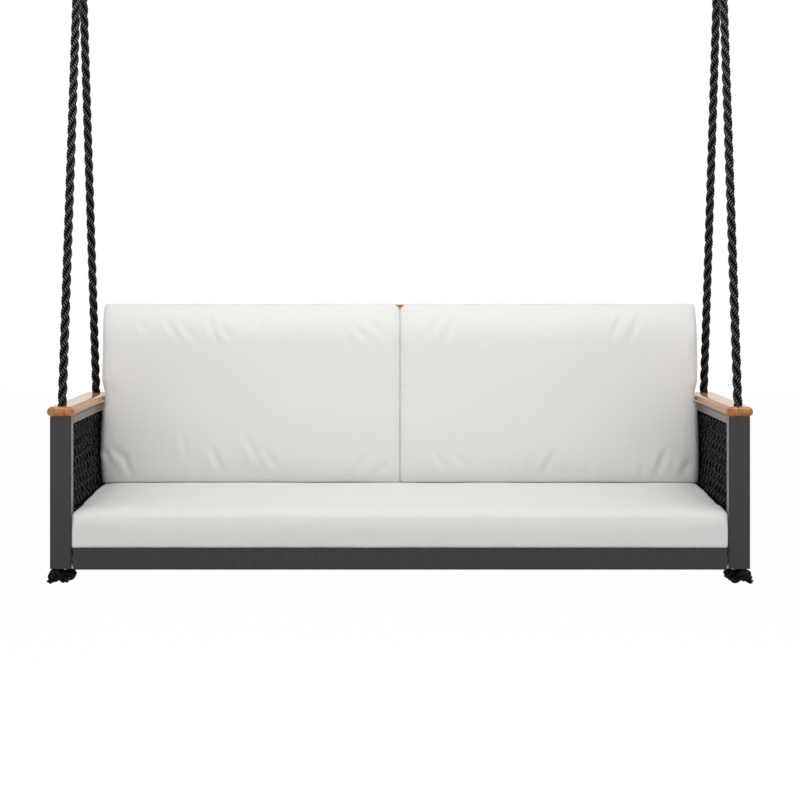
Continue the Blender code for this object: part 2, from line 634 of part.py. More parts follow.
# ---------------------------------------------------------------- ceiling hangers
def ceiling_hanger(side, sign):
    """A screwed plate with two welded ears, and the pivot pin through them."""
    x = sign * HANG_X
    holes = [circle(SCREW_HOLE_RADIUS, SCREW_HOLE_SIDES,
                    (sx * (PLATE_WIDTH / 2 - SCREW_INSET), sy * (PLATE_LENGTH / 2 - SCREW_INSET)))
             for sx in (-1, 1) for sy in (-1, 1)]
    plate = flat_piece(f"{side}_hanger_bracket",
                       [rounded_rectangle(PLATE_WIDTH, PLATE_LENGTH, PLATE_CORNER, 3)] + holes,
                       PLATE_THICKNESS, (x, HANG_BACK, CEILING_Z - PLATE_THICKNESS / 2),
                       parent=CEILING, material=STEEL)
    plate = welded(plate)
    ear_top = PIVOT_DROP + PLATE_THICKNESS / 2
    ear_x = LINK_THICKNESS / 2 + LINK_SIDE_PLAY + EAR_THICKNESS / 2
    for end in (-1, 1):
        outline = [(EAR_RADIUS * cos(a), EAR_RADIUS * sin(a))
                   for a in (pi + pi * k / 8 for k in range(9))]
        outline += [(EAR_RADIUS + EAR_FLARE, ear_top), (-EAR_RADIUS - EAR_FLARE, ear_top)]
        ear = flat_piece("ear", [outline, circle(PIN_RADIUS + GAP)], EAR_THICKNESS,
                         (x + end * ear_x, HANG_BACK, PIVOT_Z), ALONG["X"], CEILING)
        boolean(plate, welded(ear), "UNION")

    grip = ear_x + EAR_THICKNESS / 2 + GAP
    head = grip + PIN_HEAD_LENGTH
    profile = [(0, head), (PIN_HEAD_RADIUS - PIN_HEAD_CHAMFER, head),
               (PIN_HEAD_RADIUS, head - PIN_HEAD_CHAMFER), (PIN_HEAD_RADIUS, grip),
               (PIN_RADIUS, grip), (PIN_RADIUS, -grip), (PIN_HEAD_RADIUS, -grip),
               (PIN_HEAD_RADIUS, -head), (0, -head)]

    def half_section(bm):
        corners = [bm.verts.new((r, 0, z)) for r, z in profile]
        for a, b in zip(corners, corners[1:]):
            bm.edges.new((a, b))

    pin = add(f"{side}_hanger_pin", mesh_from("pin", half_section), (x, HANG_BACK, PIVOT_Z),
              CEILING, (0, pi / 2, 0), STEEL)
    turned = pin.modifiers.new("turned", "SCREW")
    turned.steps = 16
    turned.render_steps = 16
    turned.use_merge_vertices = True
    turned.merge_threshold = WELD_DISTANCE


# ---------------------------------------------------------------- assembly
for SIDE, SIGN in SIDES:
    arm_frame(SIDE, SIGN)
    OPENING_FOOT = ARM_BOTTOM_RAIL_HEIGHT + GAP
    OPENING_TOP = POST_HEIGHT - ARM_TOP_RAIL_HEIGHT - GAP
    ARM_WEAVE = (SIGN * (INNER_FACE + ARM_WEAVE_INSET), SEAT_DEPTH / 2,
                 (OPENING_FOOT + OPENING_TOP) / 2)
    woven_panel(SIDE, ARM_WEAVE, SEAT_DEPTH - 2 * (POST_DEPTH + GAP),
                OPENING_TOP - OPENING_FOOT, ARM_COLUMNS, ARM_ROWS, "Y")
    rope_and_fittings(SIDE, SIGN)
    ceiling_hanger(SIDE, SIGN)
seat_frame()
back_frame()
cushions()
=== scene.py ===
"""The looks of a porch swing seat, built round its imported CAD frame: laid ropes with knots
and seized eyes, rope-woven sides and back, teak caps, stuffed cushions and hangers. Metres;
the origin is on the ceiling between the hangers."""

import json
from functools import partial
from math import cos, pi, radians, sin

import bmesh
import bpy
import numpy as np
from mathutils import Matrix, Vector, noise


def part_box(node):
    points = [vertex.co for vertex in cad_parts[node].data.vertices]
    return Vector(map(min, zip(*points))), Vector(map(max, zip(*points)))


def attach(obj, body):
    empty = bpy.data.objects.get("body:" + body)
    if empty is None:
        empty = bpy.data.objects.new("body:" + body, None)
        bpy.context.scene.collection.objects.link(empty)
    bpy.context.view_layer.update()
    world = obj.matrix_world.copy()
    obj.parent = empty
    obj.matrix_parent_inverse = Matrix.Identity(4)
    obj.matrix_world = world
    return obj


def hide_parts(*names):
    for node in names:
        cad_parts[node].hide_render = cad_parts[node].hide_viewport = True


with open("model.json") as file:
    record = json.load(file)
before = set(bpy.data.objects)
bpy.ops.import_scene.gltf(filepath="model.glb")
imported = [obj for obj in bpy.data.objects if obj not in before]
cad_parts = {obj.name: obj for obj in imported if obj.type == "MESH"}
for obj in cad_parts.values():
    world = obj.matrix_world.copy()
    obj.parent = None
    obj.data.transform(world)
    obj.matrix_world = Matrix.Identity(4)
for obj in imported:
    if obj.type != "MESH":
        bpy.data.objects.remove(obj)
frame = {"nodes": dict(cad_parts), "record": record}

NODES = frame["nodes"]
SCENE = bpy.context.scene
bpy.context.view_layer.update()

# ---- sizes shared with the CAD
GAP = 0.0003
SEAT_WIDTH, SEAT_DEPTH = 1.800, 0.730
POST_WIDTH, POST_DEPTH, POST_HEIGHT = 0.055, 0.045, 0.391
ARM_TOP_RAIL_HEIGHT, ARM_BOTTOM_RAIL_HEIGHT = 0.0215, 0.045
CAP_THICKNESS, CAP_OVERHANG, BULLNOSE = 0.025, 0.0075, 0.0118
BACK_CAP_EDGE = 0.007
BACK_CAP_SANDED = 0.0012  # its top below the CAD's, so that the cushions hide it
SEAT_RAIL_DEPTH = 0.035
ROPE_RADIUS, ROPE_CLEARANCE = 0.012, 0.0007
ROPE_BEND_DROP, ROPE_MEET_HEIGHT, ROPE_INTO_KNOT = 0.014, 1.7995, 0.003
HANG_BACK, HANG_X = 0.4546, 0.885
CEILING_Z = 2.0696
WHIPPING_DROP, WHIPPING_HEIGHT = 0.010, 0.036
EYE_RADIUS, EYE_RISE, EYE_SWEEP = 0.050, 0.092, 248
KNOT_RADIUS, KNOT_STRAND_RADIUS, KNOT_RISE = 0.0295, 0.0068, 0.0092
RING_RADIUS, RING_BAR_RADIUS = 0.032, 0.0055
WEAVE_ROD_RADIUS, WEAVE_SIDE_MARGIN, WEAVE_END_MARGIN = 0.005, 0.014, 0.016
ARM_WEAVE_INSET = 0.0135

POST_X = SEAT_WIDTH / 2 - POST_WIDTH / 2
FRONT_POST_Y, REAR_POST_Y = POST_DEPTH / 2, SEAT_DEPTH - POST_DEPTH / 2
LEG_SPACING = ROPE_RADIUS + ROPE_CLEARANCE
WHIPPING_Z = ROPE_MEET_HEIGHT - WHIPPING_DROP
EYE_Z = WHIPPING_Z + EYE_RISE
SIDES = (("left", -1), ("right", 1))


def seat(x, y, z):
    """A point of the seat's own datum (post foot, front face of the posts) in the row frame."""
    return Vector((x, y - HANG_BACK, z - CEILING_Z))


# ---- node and piece helpers
def put(tree, kind, inputs=(), **settings):
    """Adds a node with its settings, and sets or links the inputs given by name or index."""
    made = tree.nodes.new(kind)
    for name, value in settings.items():
        setattr(made, name, value)
    for name, value in dict(inputs).items():
        if isinstance(value, bpy.types.NodeSocket):
            tree.links.new(value, made.inputs[name])
        else:
            made.inputs[name].default_value = value
    return made


def first_of(tree, kind, inputs=(), **settings):
    """The first output of a new node."""
    return put(tree, kind, inputs, **settings).outputs[0]


def calculated(tree, operation, *values):
    return first_of(tree, "ShaderNodeMath", enumerate(values), operation=operation)


def linear(code):
    """A colour written as sRGB hex, in the linear light that shaders take."""
    channels = [int(code[k:k + 2], 16) / 255 for k in (1, 3, 5)]
    return [c / 12.92 if c <= 0.04045 else ((c + 0.055) / 1.055) ** 2.4 for c in channels] + [1]


def link_object(name, data):
    made = bpy.data.objects.new(name, data)
    SCENE.collection.objects.link(made)
    return made


def mesh_from(bm, name):
    """A new mesh of the bmesh's shape; the bmesh is freed."""
    mesh = bpy.data.meshes.new(name)
    bm.to_mesh(mesh)
    bm.free()
    return mesh


def baked(source, name, material=None, smooth_angle=None):
    """The evaluated source as a plain mesh object at the origin; the source is removed."""
    bpy.context.view_layer.update()
    graph = bpy.context.evaluated_depsgraph_get()
    mesh = bpy.data.meshes.new_from_object(source.evaluated_get(graph))
    mesh.transform(source.matrix_world)
    bpy.data.objects.remove(source, do_unlink=True)
    mesh.name = name
    if material:
        mesh.materials.clear()
        mesh.materials.append(material)
    if smooth_angle:
        mesh.shade_smooth()
        mesh.set_sharp_from_angle(angle=radians(smooth_angle))
    return link_object(name, mesh)


def belong(piece, slot, *nodes, body="swing"):
    """Rides the piece on its body and hides the CAD nodes that it stands for. slot, its finish, is
    not used.
    """
    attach(piece, body)
    if nodes:
        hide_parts(*nodes)
    return piece


def spline_through(points, per_span=8, closed=False):
    """A smooth Catmull-Rom line through the points."""
    p = np.array(points, float)
    if closed:
        p = np.vstack([p[-1:], p, p[:2]])
    else:
        p = np.vstack([2 * p[0] - p[1], p, 2 * p[-1] - p[-2]])
    t = np.linspace(0, 1, per_span, endpoint=False)[:, None]
    line = []
    for a, b, c, d in zip(p, p[1:], p[2:], p[3:]):
        line.append(0.5 * (2 * b + (c - a) * t + (2 * a - 5 * b + 4 * c - d) * t ** 2
                           + (3 * b - a - 3 * c + d) * t ** 3))
    line = np.vstack(line)
    return line if closed else np.vstack([line, p[-2]])


def length_of(points, closed=False):
    p = np.array(points, float)
    if closed:
        p = np.vstack([p, p[:1]])
    return float(np.linalg.norm(np.diff(p, axis=0), axis=1).sum())


def line_object(name, lines, closed=False):
    """A curve object of POLY splines, without thickness."""
    curve = bpy.data.curves.new(name, "CURVE")
    curve.dimensions = "3D"
    for points in lines:
        spline = curve.splines.new("POLY")
        spline.points.add(len(points) - 1)
        spline.points.foreach_set("co", np.column_stack([points, np.ones(len(points))]).ravel())
        spline.use_cyclic_u = closed
    return link_object(name, curve)


# ---- camera
CAMERA_DISTANCE, CAMERA_HEIGHT = 5.900, 0.7655  # from the posts' front faces and their foot
FRAME_PIXELS, FOCAL_PIXELS = 800, 2297
HORIZON_PIXELS = 271  # from the top of the frame
SENSOR = 36.0

camera = link_object("camera", bpy.data.cameras.new("camera"))
camera.location = seat(0, -CAMERA_DISTANCE, CAMERA_HEIGHT)
camera.rotation_euler = (pi / 2, 0, 0)
camera.data.sensor_width = SENSOR
camera.data.lens = SENSOR * FOCAL_PIXELS / FRAME_PIXELS
camera.data.shift_y = (HORIZON_PIXELS - FRAME_PIXELS / 2) / FRAME_PIXELS
SCENE.camera = camera


# ---- rope-making tree
ROPE_INPUTS = {
    "Int": ("Strands", "Sides", "Yarns"),
    "Float": ("Strand Offset", "Strand Radius", "Lay", "Step", "Flatten", "Yarn Lay",
              "Yarn Relief", "Reversal"),
    "Vector": ("Side",), "Material": ("Material",)}
LAST_FACE = 0.2  # more than "around" changes over any face but the closing one


def rope_tree(fixed_side):
    """Lays strands round each line and raises the yarns on every strand. For the shader, "yarn"
    counts the yarns round a strand and "crest" is high where it meets the open air; the shader
    paints shade where "crest" is low.

    With fixed_side the section keeps its width along the Side vector, as a flattened
    rope does in a weave; without it the section follows the line with least twist."""
    tree = bpy.data.node_groups.new("laid_rope_flat" if fixed_side else "laid_rope",
                                    "GeometryNodeTree")
    face = tree.interface
    face.new_socket("Lines", in_out="INPUT", socket_type="NodeSocketGeometry")
    for kind, names in ROPE_INPUTS.items():
        for name in names:
            face.new_socket(name, in_out="INPUT", socket_type="NodeSocket" + kind)
    face.new_socket("Rope", in_out="OUTPUT", socket_type="NodeSocketGeometry")
    given = put(tree, "NodeGroupInput").outputs
    make, calculate = partial(first_of, tree), partial(calculated, tree)

    def vector(operation, a, b, result="Vector"):
        made = put(tree, "ShaderNodeVectorMath", {0: a, 1: b}, operation=operation)
        return made.outputs[result]

    def scaled(a, factor):
        return make("ShaderNodeVectorMath", {0: a, "Scale": factor}, operation="SCALE")

    def stored(shape, name, value, kind="FLOAT", domain="POINT"):
        return make("GeometryNodeStoreNamedAttribute",
                    {"Geometry": shape, "Name": name, "Value": value},
                    data_type=kind, domain=domain)

    def marking(name, kind="FLOAT"):
        return make("GeometryNodeInputNamedAttribute", {"Name": name}, data_type=kind)

    even = make("GeometryNodeResampleCurve",
                {"Curve": given["Lines"], "Length": given["Step"]}, mode="LENGTH")
    strands = put(tree, "GeometryNodeDuplicateElements",
                  {"Geometry": even, "Amount": given["Strands"]}, domain="SPLINE")
    travelled = put(tree, "GeometryNodeSplineParameter").outputs["Length"]
    along = calculate("ABSOLUTE", calculate("SUBTRACT", travelled, given["Reversal"]))
    share = calculate("DIVIDE", strands.outputs["Duplicate Index"], given["Strands"])
    turns = calculate("ADD", calculate("DIVIDE", along, given["Lay"]), share)
    angle = calculate("MULTIPLY", turns, 2 * pi)
    normal = put(tree, "GeometryNodeInputNormal").outputs["Normal"]
    across = vector("CROSS_PRODUCT", make("GeometryNodeInputTangent"), normal)
    outwards = vector("ADD", scaled(normal, calculate("COSINE", angle)),
                      scaled(across, calculate("SINE", angle)))
    marked = stored(strands.outputs["Geometry"], "along", along)
    lines = make("GeometryNodeSetPosition",
                 {"Geometry": stored(marked, "outwards", outwards, "FLOAT_VECTOR"),
                  "Offset": scaled(outwards, given["Strand Offset"])})
    if fixed_side:
        lines = make("GeometryNodeSetCurveNormal", {"Curve": lines, "Normal": given["Side"]},
                     mode="FREE")

    ring = make("GeometryNodeCurvePrimitiveCircle",
                {"Resolution": given["Sides"], "Radius": given["Strand Radius"]})
    oval = make("ShaderNodeCombineXYZ", {"X": 1.0, "Y": given["Flatten"], "Z": 1.0})
    ring = stored(make("GeometryNodeTransform", {"Geometry": ring, "Scale": oval}), "around",
                  put(tree, "GeometryNodeSplineParameter").outputs["Factor"])
    skin = make("GeometryNodeCurveToMesh",
                {"Curve": lines, "Profile Curve": ring, "Fill Caps": True})

    def yarn_turns(around):
        spiral = calculate("SUBTRACT", around,
                           calculate("DIVIDE", marking("along"), given["Yarn Lay"]))
        return calculate("MULTIPLY", spiral, given["Yarns"])

    wave = calculate("COSINE", calculate("MULTIPLY", yarn_turns(marking("around")), 2 * pi))
    face_middle = make("GeometryNodeFieldOnDomain", {"Value": marking("around")}, domain="FACE")
    closing = calculate("GREATER_THAN",
                        calculate("SUBTRACT", face_middle, marking("around")), LAST_FACE)
    outward = put(tree, "GeometryNodeInputNormal").outputs["Normal"]
    raised = make("GeometryNodeSetPosition",
                  {"Geometry": skin,
                   "Offset": scaled(outward, calculate("MULTIPLY", wave, given["Yarn Relief"]))})
    counted = stored(raised, "yarn", yarn_turns(calculate("ADD", marking("around"), closing)),
                     domain="CORNER")
    # crest masks painted shade: a flat rope's edges, where its lanes lie side by side, and a laid
    # rope's grooves between its strands are painted dark; a rope of one strand gets none
    if fixed_side:
        sideways = vector("DOT_PRODUCT", given["Side"], outward, "Value")
        crest = calculate("SUBTRACT", 1.0, calculate("ABSOLUTE", sideways))
    else:
        facing = vector("DOT_PRODUCT", marking("outwards", "FLOAT_VECTOR"), outward, "Value")
        alone = calculate("LESS_THAN", given["Strands"], 1.5)
        crest = calculate("ADD", facing, calculate("MULTIPLY", alone, 2.0))
    soft = make("GeometryNodeSetShadeSmooth", {"Geometry": stored(counted, "crest", crest)})
    done = make("GeometryNodeSetMaterial",
                {"Geometry": make("GeometryNodeRealizeInstances", {"Geometry": soft}),
                 "Material": given["Material"]})
    put(tree, "NodeGroupOutput", {"Rope": done})
    return tree


ROUND_ROPE = rope_tree(fixed_side=False)
FLAT_ROPE = rope_tree(fixed_side=True)


def rope_from(name, lines, material, closed=False, **sizes):
    """A mesh of laid rope along the lines, from the flat tree if sizes give a side."""
    source = line_object(name, lines, closed)
    maker = source.modifiers.new("rope", "NODES")
    maker.node_group = FLAT_ROPE if "side" in sizes else ROUND_ROPE
    values = {"Material": material, "Flatten": 1.0}
    values |= {key.replace("_", " ").title(): value for key, value in sizes.items()}
    for item in maker.node_group.interface.items_tree:
        if item.in_out == "INPUT" and item.name in values:
            maker[item.identifier] = values[item.name]
    return baked(source, name)


# ---- materials
def material_of(name, colour, roughness, **sockets):
    """A Principled material and its tree; plain values go on the shader's own sockets."""
    material = bpy.data.materials.new(name)
    material.use_nodes = True
    tree = material.node_tree
    shader = tree.nodes["Principled BSDF"]
    sockets |= {"Base_Color": linear(colour), "Roughness": roughness}
    for socket, value in sockets.items():
        shader.inputs[socket.replace("_", " ")].default_value = value
    return material, tree, shader


def bump_from(tree, shader, height, distance, strength):
    bump = first_of(tree, "ShaderNodeBump",
                    {"Height": height, "Distance": distance, "Strength": strength})
    tree.links.new(bump, shader.inputs["Normal"])


def speckle(tree, scale, detail):
    """Noise in the piece's own space."""
    where = put(tree, "ShaderNodeTexCoord").outputs["Object"]
    return first_of(tree, "ShaderNodeTexNoise",
                    {"Vector": where, "Scale": scale, "Detail": detail})


def ramp(tree, value, stops):
    made = put(tree, "ShaderNodeValToRGB", {"Fac": value})
    points = made.color_ramp.elements
    while len(points) < len(stops):
        points.new(0.5)
    for point, (place, code) in zip(points, stops):
        point.position, point.color = place, linear(code)
    return made.outputs["Color"]


def powder_coat():
    """Matt anthracite, with a fine orange peel that breaks up the highlights."""
    material, tree, shader = material_of("powder_coated_aluminium", "#2B2B2C", 0.24,
                                         Specular_IOR_Level=0.28,
                                         Sheen_Weight=0.30, Sheen_Roughness=0.3)
    tint = ramp(tree, speckle(tree, 140.0, 3.0), ((0.3, "#272728"), (0.7, "#2E2E2F")))
    tree.links.new(tint, shader.inputs["Base Color"])
    bump_from(tree, shader, speckle(tree, 900.0, 2.0), 0.0003, 0.35)
    return material


def oiled_teak(name, along):
    """Solid teak: straight grain with growth lines about 8 mm apart, short open pores, and a
    low sheen that turns bright at a flat angle."""
    material, tree, shader = material_of(name, "#B06926", 0.13, IOR=1.5,
                                         Sheen_Weight=0.35, Sheen_Roughness=0.3,
                                         Sheen_Tint=linear("#FFD9A0"))
    where = put(tree, "ShaderNodeTexCoord").outputs["Object"]

    def grain(across, lengthwise, detail, distortion=0.0):
        scale = [across, across, across * 0.45]
        scale[along] = lengthwise
        spot = first_of(tree, "ShaderNodeMapping", {"Vector": where, "Scale": scale})
        return first_of(tree, "ShaderNodeTexNoise", {"Vector": spot, "Scale": 1.0,
                                                     "Detail": detail, "Distortion": distortion})

    figure = ramp(tree, grain(120.0, 2.2, 4.0, 0.4),
                  ((0.30, "#8F5019"), (0.45, "#AC6726"), (0.58, "#BF7A36"), (0.72, "#D19450")))
    pores = ramp(tree, grain(900.0, 30.0, 2.0), ((0.36, "#7A4A22"), (0.46, "#FFFFFF")))
    mixed = put(tree, "ShaderNodeMix", {"Factor": 0.35, "A": figure, "B": pores},
                data_type="RGBA", blend_type="MULTIPLY")
    tree.links.new(mixed.outputs["Result"], shader.inputs["Base Color"])
    bump_from(tree, shader, grain(700.0, 25.0, 2.0), 0.0002, 0.25)
    return material


def twisted_rope(name, gloss, dark, crown):
    """Black rope of twisted yarns: fine fibres with a soft gloss on the crowns of the yarns. Its
    colour is painted as well: a painted highlight on the crowns of the yarns, painted shade in the
    hollows between them, and painted shade in the grooves between the strands, where "crest" is
    low."""
    material, tree, shader = material_of(name, dark, 0.42)
    turns = put(tree, "ShaderNodeAttribute", attribute_name="yarn").outputs["Fac"]
    wave = calculated(tree, "COSINE", calculated(tree, "MULTIPLY", turns, 2 * pi))
    height = calculated(tree, "MULTIPLY_ADD", wave, 0.40, speckle(tree, 1400.0, 2.0))
    # painted highlight and painted shade: the yarn crowns take the lighter crown colour and the
    # hollows between the yarns the dark one, with some random fibre tone from the noise
    tint = ramp(tree, height, ((0.30, dark), (0.62, "#161617"), (0.90, crown)))
    # painted shade: where crest is low, between the strands and at a flat rope's edges, the colour
    # is mixed to the dark one
    crest = put(tree, "ShaderNodeAttribute", attribute_name="crest").outputs["Fac"]
    clear_of_groove_shade = first_of(tree, "ShaderNodeMapRange", {"Value": crest, "From Max": 0.95})
    shine = first_of(tree, "ShaderNodeMapRange",
                     {"Value": height, "From Min": 0.3, "From Max": 0.9, "To Min": 0.02,
                      "To Max": gloss})
    painted_groove_shade = put(tree, "ShaderNodeMix", {"Factor": clear_of_groove_shade, "A": linear(dark), "B": tint},
               data_type="RGBA")
    tree.links.new(painted_groove_shade.outputs["Result"], shader.inputs["Base Color"])
    tree.links.new(shine, shader.inputs["Specular IOR Level"])
    bump_from(tree, shader, height, 0.0006, 0.6)
    return material


def cushion_cover():
    """Off-white fabric in a plain weave, with a faint heather. The real threads are 0.4 mm
    apart; they are drawn at 1.6 mm to show at all."""
    material, tree, shader = material_of("woven_cover_fabric", "#EAE9E7", 0.92,
                                         Sheen_Weight=0.10, Sheen_Roughness=0.5,
                                         Specular_IOR_Level=0.25)
    cloth = first_of(tree, "ShaderNodeUVMap", uv_map="cloth")
    threads = [put(tree, "ShaderNodeTexWave",
                   {"Vector": cloth, "Scale": 196.0, "Distortion": 0.6, "Detail": 1.0},
                   bands_direction=direction).outputs["Fac"] for direction in "XY"]
    tint = ramp(tree, speckle(tree, 260.0, 3.0), ((0.3, "#E8E7E4"), (0.7, "#ECEBE9")))
    tree.links.new(tint, shader.inputs["Base Color"])
    bump_from(tree, shader, calculated(tree, "ADD", *threads), 0.0002, 0.25)
    return material


def zinc_plated_steel():
    """Bright zinc plating: cool grey with a faint spangle."""
    material, tree, shader = material_of("zinc_plated_steel", "#A9ABAE", 0.32, Metallic=1.0)
    where = put(tree, "ShaderNodeTexCoord").outputs["Object"]
    spangle = put(tree, "ShaderNodeTexVoronoi", {"Vector": where, "Scale": 260.0})
    tint = ramp(tree, spangle.outputs["Color"], ((0.0, "#9EA0A4"), (1.0, "#B7B9BB")))
    rough = first_of(tree, "ShaderNodeMapRange", {"Value": spangle.outputs["Distance"],
                                                  "To Min": 0.26, "To Max": 0.40})
    tree.links.new(tint, shader.inputs["Base Color"])
    tree.links.new(rough, shader.inputs["Roughness"])
    return material


def moulded_nylon():
    """Black nylon with a fine spark texture."""
    material, tree, shader = material_of("moulded_nylon", "#18181A", 0.48)
    bump_from(tree, shader, speckle(tree, 1800.0, 1.0), 0.0001, 0.3)
    return material


COAT = powder_coat()
TEAK_ARM = oiled_teak("oiled_teak_arm", along=1)
TEAK_BACK = oiled_teak("oiled_teak_back", along=0)
# each crown colour is a painted highlight on the crowns of that rope's yarns
ROPE = twisted_rope("laid_black_rope", 0.20, "#040404", "#707072")
# the knot rope is the same rope as ROPE in darker colours with less gloss: painted shade for the
# knots and their ends under the posts
SHADED_KNOT_ROPE = twisted_rope("knot_rope_painted_shade", 0.08, "#010101", "#2A2A2B")
WEAVE = twisted_rope("woven_black_rope", 0.12, "#010101", "#444445")
FABRIC = cushion_cover()
STEEL = zinc_plated_steel()
NYLON = moulded_nylon()

CAD_FINISH = {"anthracite_powder_coat": COAT, "oiled_teak": TEAK_ARM, "black_rope": ROPE,
              "off_white_fabric": FABRIC, "zinc_plated_steel": STEEL, "black_nylon": NYLON}
for entry in frame["record"]["subparts"]:
    finish = NODES[entry["node"]].data.materials
    finish.clear()
    finish.append(CAD_FINISH[entry["material_slot"]])


# ---- hanging ropes
LEG_STEPS, EYE_STEPS = 8, 14


def rope_route(sign):
    """The points of the CAD's rope: up the front post, round the ring, down the rear one."""
    def leg(post_y, side):
        start = Vector((POST_X, post_y, POST_HEIGHT - ROPE_BEND_DROP))
        lean = (Vector((HANG_X, HANG_BACK, ROPE_MEET_HEIGHT)) - start).normalized()
        gather_z = ROPE_MEET_HEIGHT - (LEG_SPACING + ROPE_CLEARANCE) * (lean.z / abs(lean.y))
        points = [(POST_X, post_y, -ROPE_INTO_KNOT), (POST_X, post_y, POST_HEIGHT / 2),
                  (POST_X, post_y, start.z - ROPE_RADIUS)]
        first = start + lean * ROPE_RADIUS
        last = start + lean * ((gather_z - start.z) / lean.z)
        points += [tuple(first.lerp(last, step / LEG_STEPS)) for step in range(LEG_STEPS + 1)]
        beside = HANG_BACK - side * LEG_SPACING
        points += [(HANG_X, beside, WHIPPING_Z - WHIPPING_HEIGHT / 2),
                   (HANG_X, beside, WHIPPING_Z + WHIPPING_HEIGHT / 2)]
        return points

    eye = []
    for step in range(EYE_STEPS + 1):
        angle = radians(90 + EYE_SWEEP / 2 - EYE_SWEEP * step / EYE_STEPS)
        eye.append((HANG_X, HANG_BACK + EYE_RADIUS * cos(angle), EYE_Z + EYE_RADIUS * sin(angle)))
    neck, rise = 1.5 * ROPE_RADIUS, WHIPPING_Z + WHIPPING_HEIGHT
    route = leg(FRONT_POST_Y, 1) + [(HANG_X, HANG_BACK - neck, rise)] + eye
    route += [(HANG_X, HANG_BACK + neck, rise)] + leg(REAR_POST_Y, -1)[::-1]
    return [seat(sign * x, y, z) for x, y, z in route]


ROPE_LAY = 0.110  # one full turn of a strand
ROUTE_STEPS = 24  # between two points of the route
SEIZING_TO_END = LEG_STEPS + 5.5  # route points from the seizing's middle to the rear knot
KNOT_STEPS = 120
KNOT_TURNS = 5  # of the strands along one knot
KNOT_FULLER, KNOT_WIDER = 1.32, 1.06  # the tied knot's rope and width against the CAD's
# each tail's end, out and back, its drop in depths of the knot's middle, and its bend
KNOT_TAILS = ((0.030, -0.022, 1.75, 0.005), (-0.036, -0.012, 0.70, -0.004))
TAIL_STEPS, TAIL_ROOT, TAIL_SPREAD = 8, 0.35, 0.0032
SEIZING_TURNS, TURN_STEPS, TWINE_RADIUS = 12, 24, 0.0014
ONE_STRAND = {"strands": 1, "strand_offset": 0.0, "lay": 1.0}


def tied_knot(name, sign, x, y):
    """A stopper knot: laid rope drawn up into three interlocked bights under the post, with
    its two cut ends standing out of it, frayed into their strands."""
    unit, rise = KNOT_RADIUS * KNOT_WIDER / 3, KNOT_RISE
    thick = KNOT_STRAND_RADIUS * KNOT_FULLER
    middle = rise + thick + GAP
    loop = []
    for step in range(KNOT_STEPS):
        t = 2 * pi * step / KNOT_STEPS
        loop.append(seat(x + sign * unit * (sin(t) + 2 * sin(2 * t)),
                         y + unit * (cos(t) - 2 * cos(2 * t)), -middle - rise * sin(3 * t)))
    body = rope_from(name, [loop], SHADED_KNOT_ROPE, closed=True, strands=3, strand_offset=thick * 0.50,
                     strand_radius=thick * 0.56, lay=length_of(loop, True) / KNOT_TURNS,
                     step=0.003, sides=16, yarns=6, yarn_lay=-0.03, yarn_relief=0.0003)
    tails = []
    for out, back, drop, bend in KNOT_TAILS:
        end = Vector((sign * out, back, -drop * middle))
        start = Vector((sign * out * TAIL_ROOT, back * TAIL_ROOT, -middle))
        for strand in range(3):
            fray = Vector((cos(2.1 * strand + out * 40), sin(2.1 * strand), 0.6 * strand - 0.6))
            tail = []
            for step in range(TAIL_STEPS + 1):
                t = step / TAIL_STEPS
                spot = start.lerp(end, t) + Vector((0, 0, -bend * sin(pi * t)))
                tail.append(seat(x, y, 0) + spot + fray * TAIL_SPREAD * (0.6 + 0.8 * t * t))
            tails.append(spline_through(tail, 3))
    ends = rope_from(f"{name}_ends", tails, SHADED_KNOT_ROPE, strands=2, strand_offset=0.0015,
                     strand_radius=0.0024, lay=0.020, step=0.0015, sides=8, yarns=3,
                     yarn_lay=-0.010, yarn_relief=0.0002)
    return body, ends


def seizing_line(sign):
    """Turns of twine round both legs of a rope, under its eye. A half turn is a straight and
    an arc; the other half is the same, turned about the middle."""
    straight, bend = 2 * LEG_SPACING, LEG_SPACING + TWINE_RADIUS
    points = []
    for step in range(SEIZING_TURNS * TURN_STEPS + 1):
        turn = step / TURN_STEPS
        z = WHIPPING_Z + (turn / SEIZING_TURNS - 0.5) * (WHIPPING_HEIGHT - 2 * TWINE_RADIUS)
        share = turn % 0.5 * 2 * (straight + pi * bend)
        if share < straight:
            x, y = bend, share - straight / 2
        else:
            angle = (share - straight) / bend
            x, y = bend * cos(angle), straight / 2 + bend * sin(angle)
        way = 1 if turn % 1 < 0.5 else -1
        points.append(seat(sign * HANG_X + way * x, HANG_BACK + way * y, z))
    return points


for side, sign in SIDES:
    route = rope_route(sign)
    rough = spline_through(route, per_span=ROUTE_STEPS)
    line = [Vector(p) for p in rough]
    joined = int(ROUTE_STEPS * (len(route) - SEIZING_TO_END))
    rope = rope_from(f"{side}_laid_rope", [line], ROPE, strands=3, strand_offset=0.0064,
                     strand_radius=0.0056, lay=ROPE_LAY * sign, step=0.0025, sides=20,
                     yarns=3, yarn_lay=-0.023 * sign, yarn_relief=0.0005,
                     reversal=length_of(rough[:joined]))
    belong(rope, "black_rope", f"{side}_rope")
    knots = []
    for place, y in (("front", FRONT_POST_Y), ("rear", REAR_POST_Y)):
        knot, ends = tied_knot(f"{side}_{place}_tied_knot", sign, sign * POST_X, y)
        knots += [belong(knot, "black_rope", f"{side}_{place}_knot"),
                  belong(ends, "black_rope")]
    seizing = rope_from(f"{side}_rope_seizing", [seizing_line(sign)], WEAVE, **ONE_STRAND,
                        strand_radius=TWINE_RADIUS, step=0.0025, sides=8, yarns=2,
                        yarn_lay=0.008, yarn_relief=0.0001)
    belong(seizing, "black_rope", f"{side}_rope_whipping")


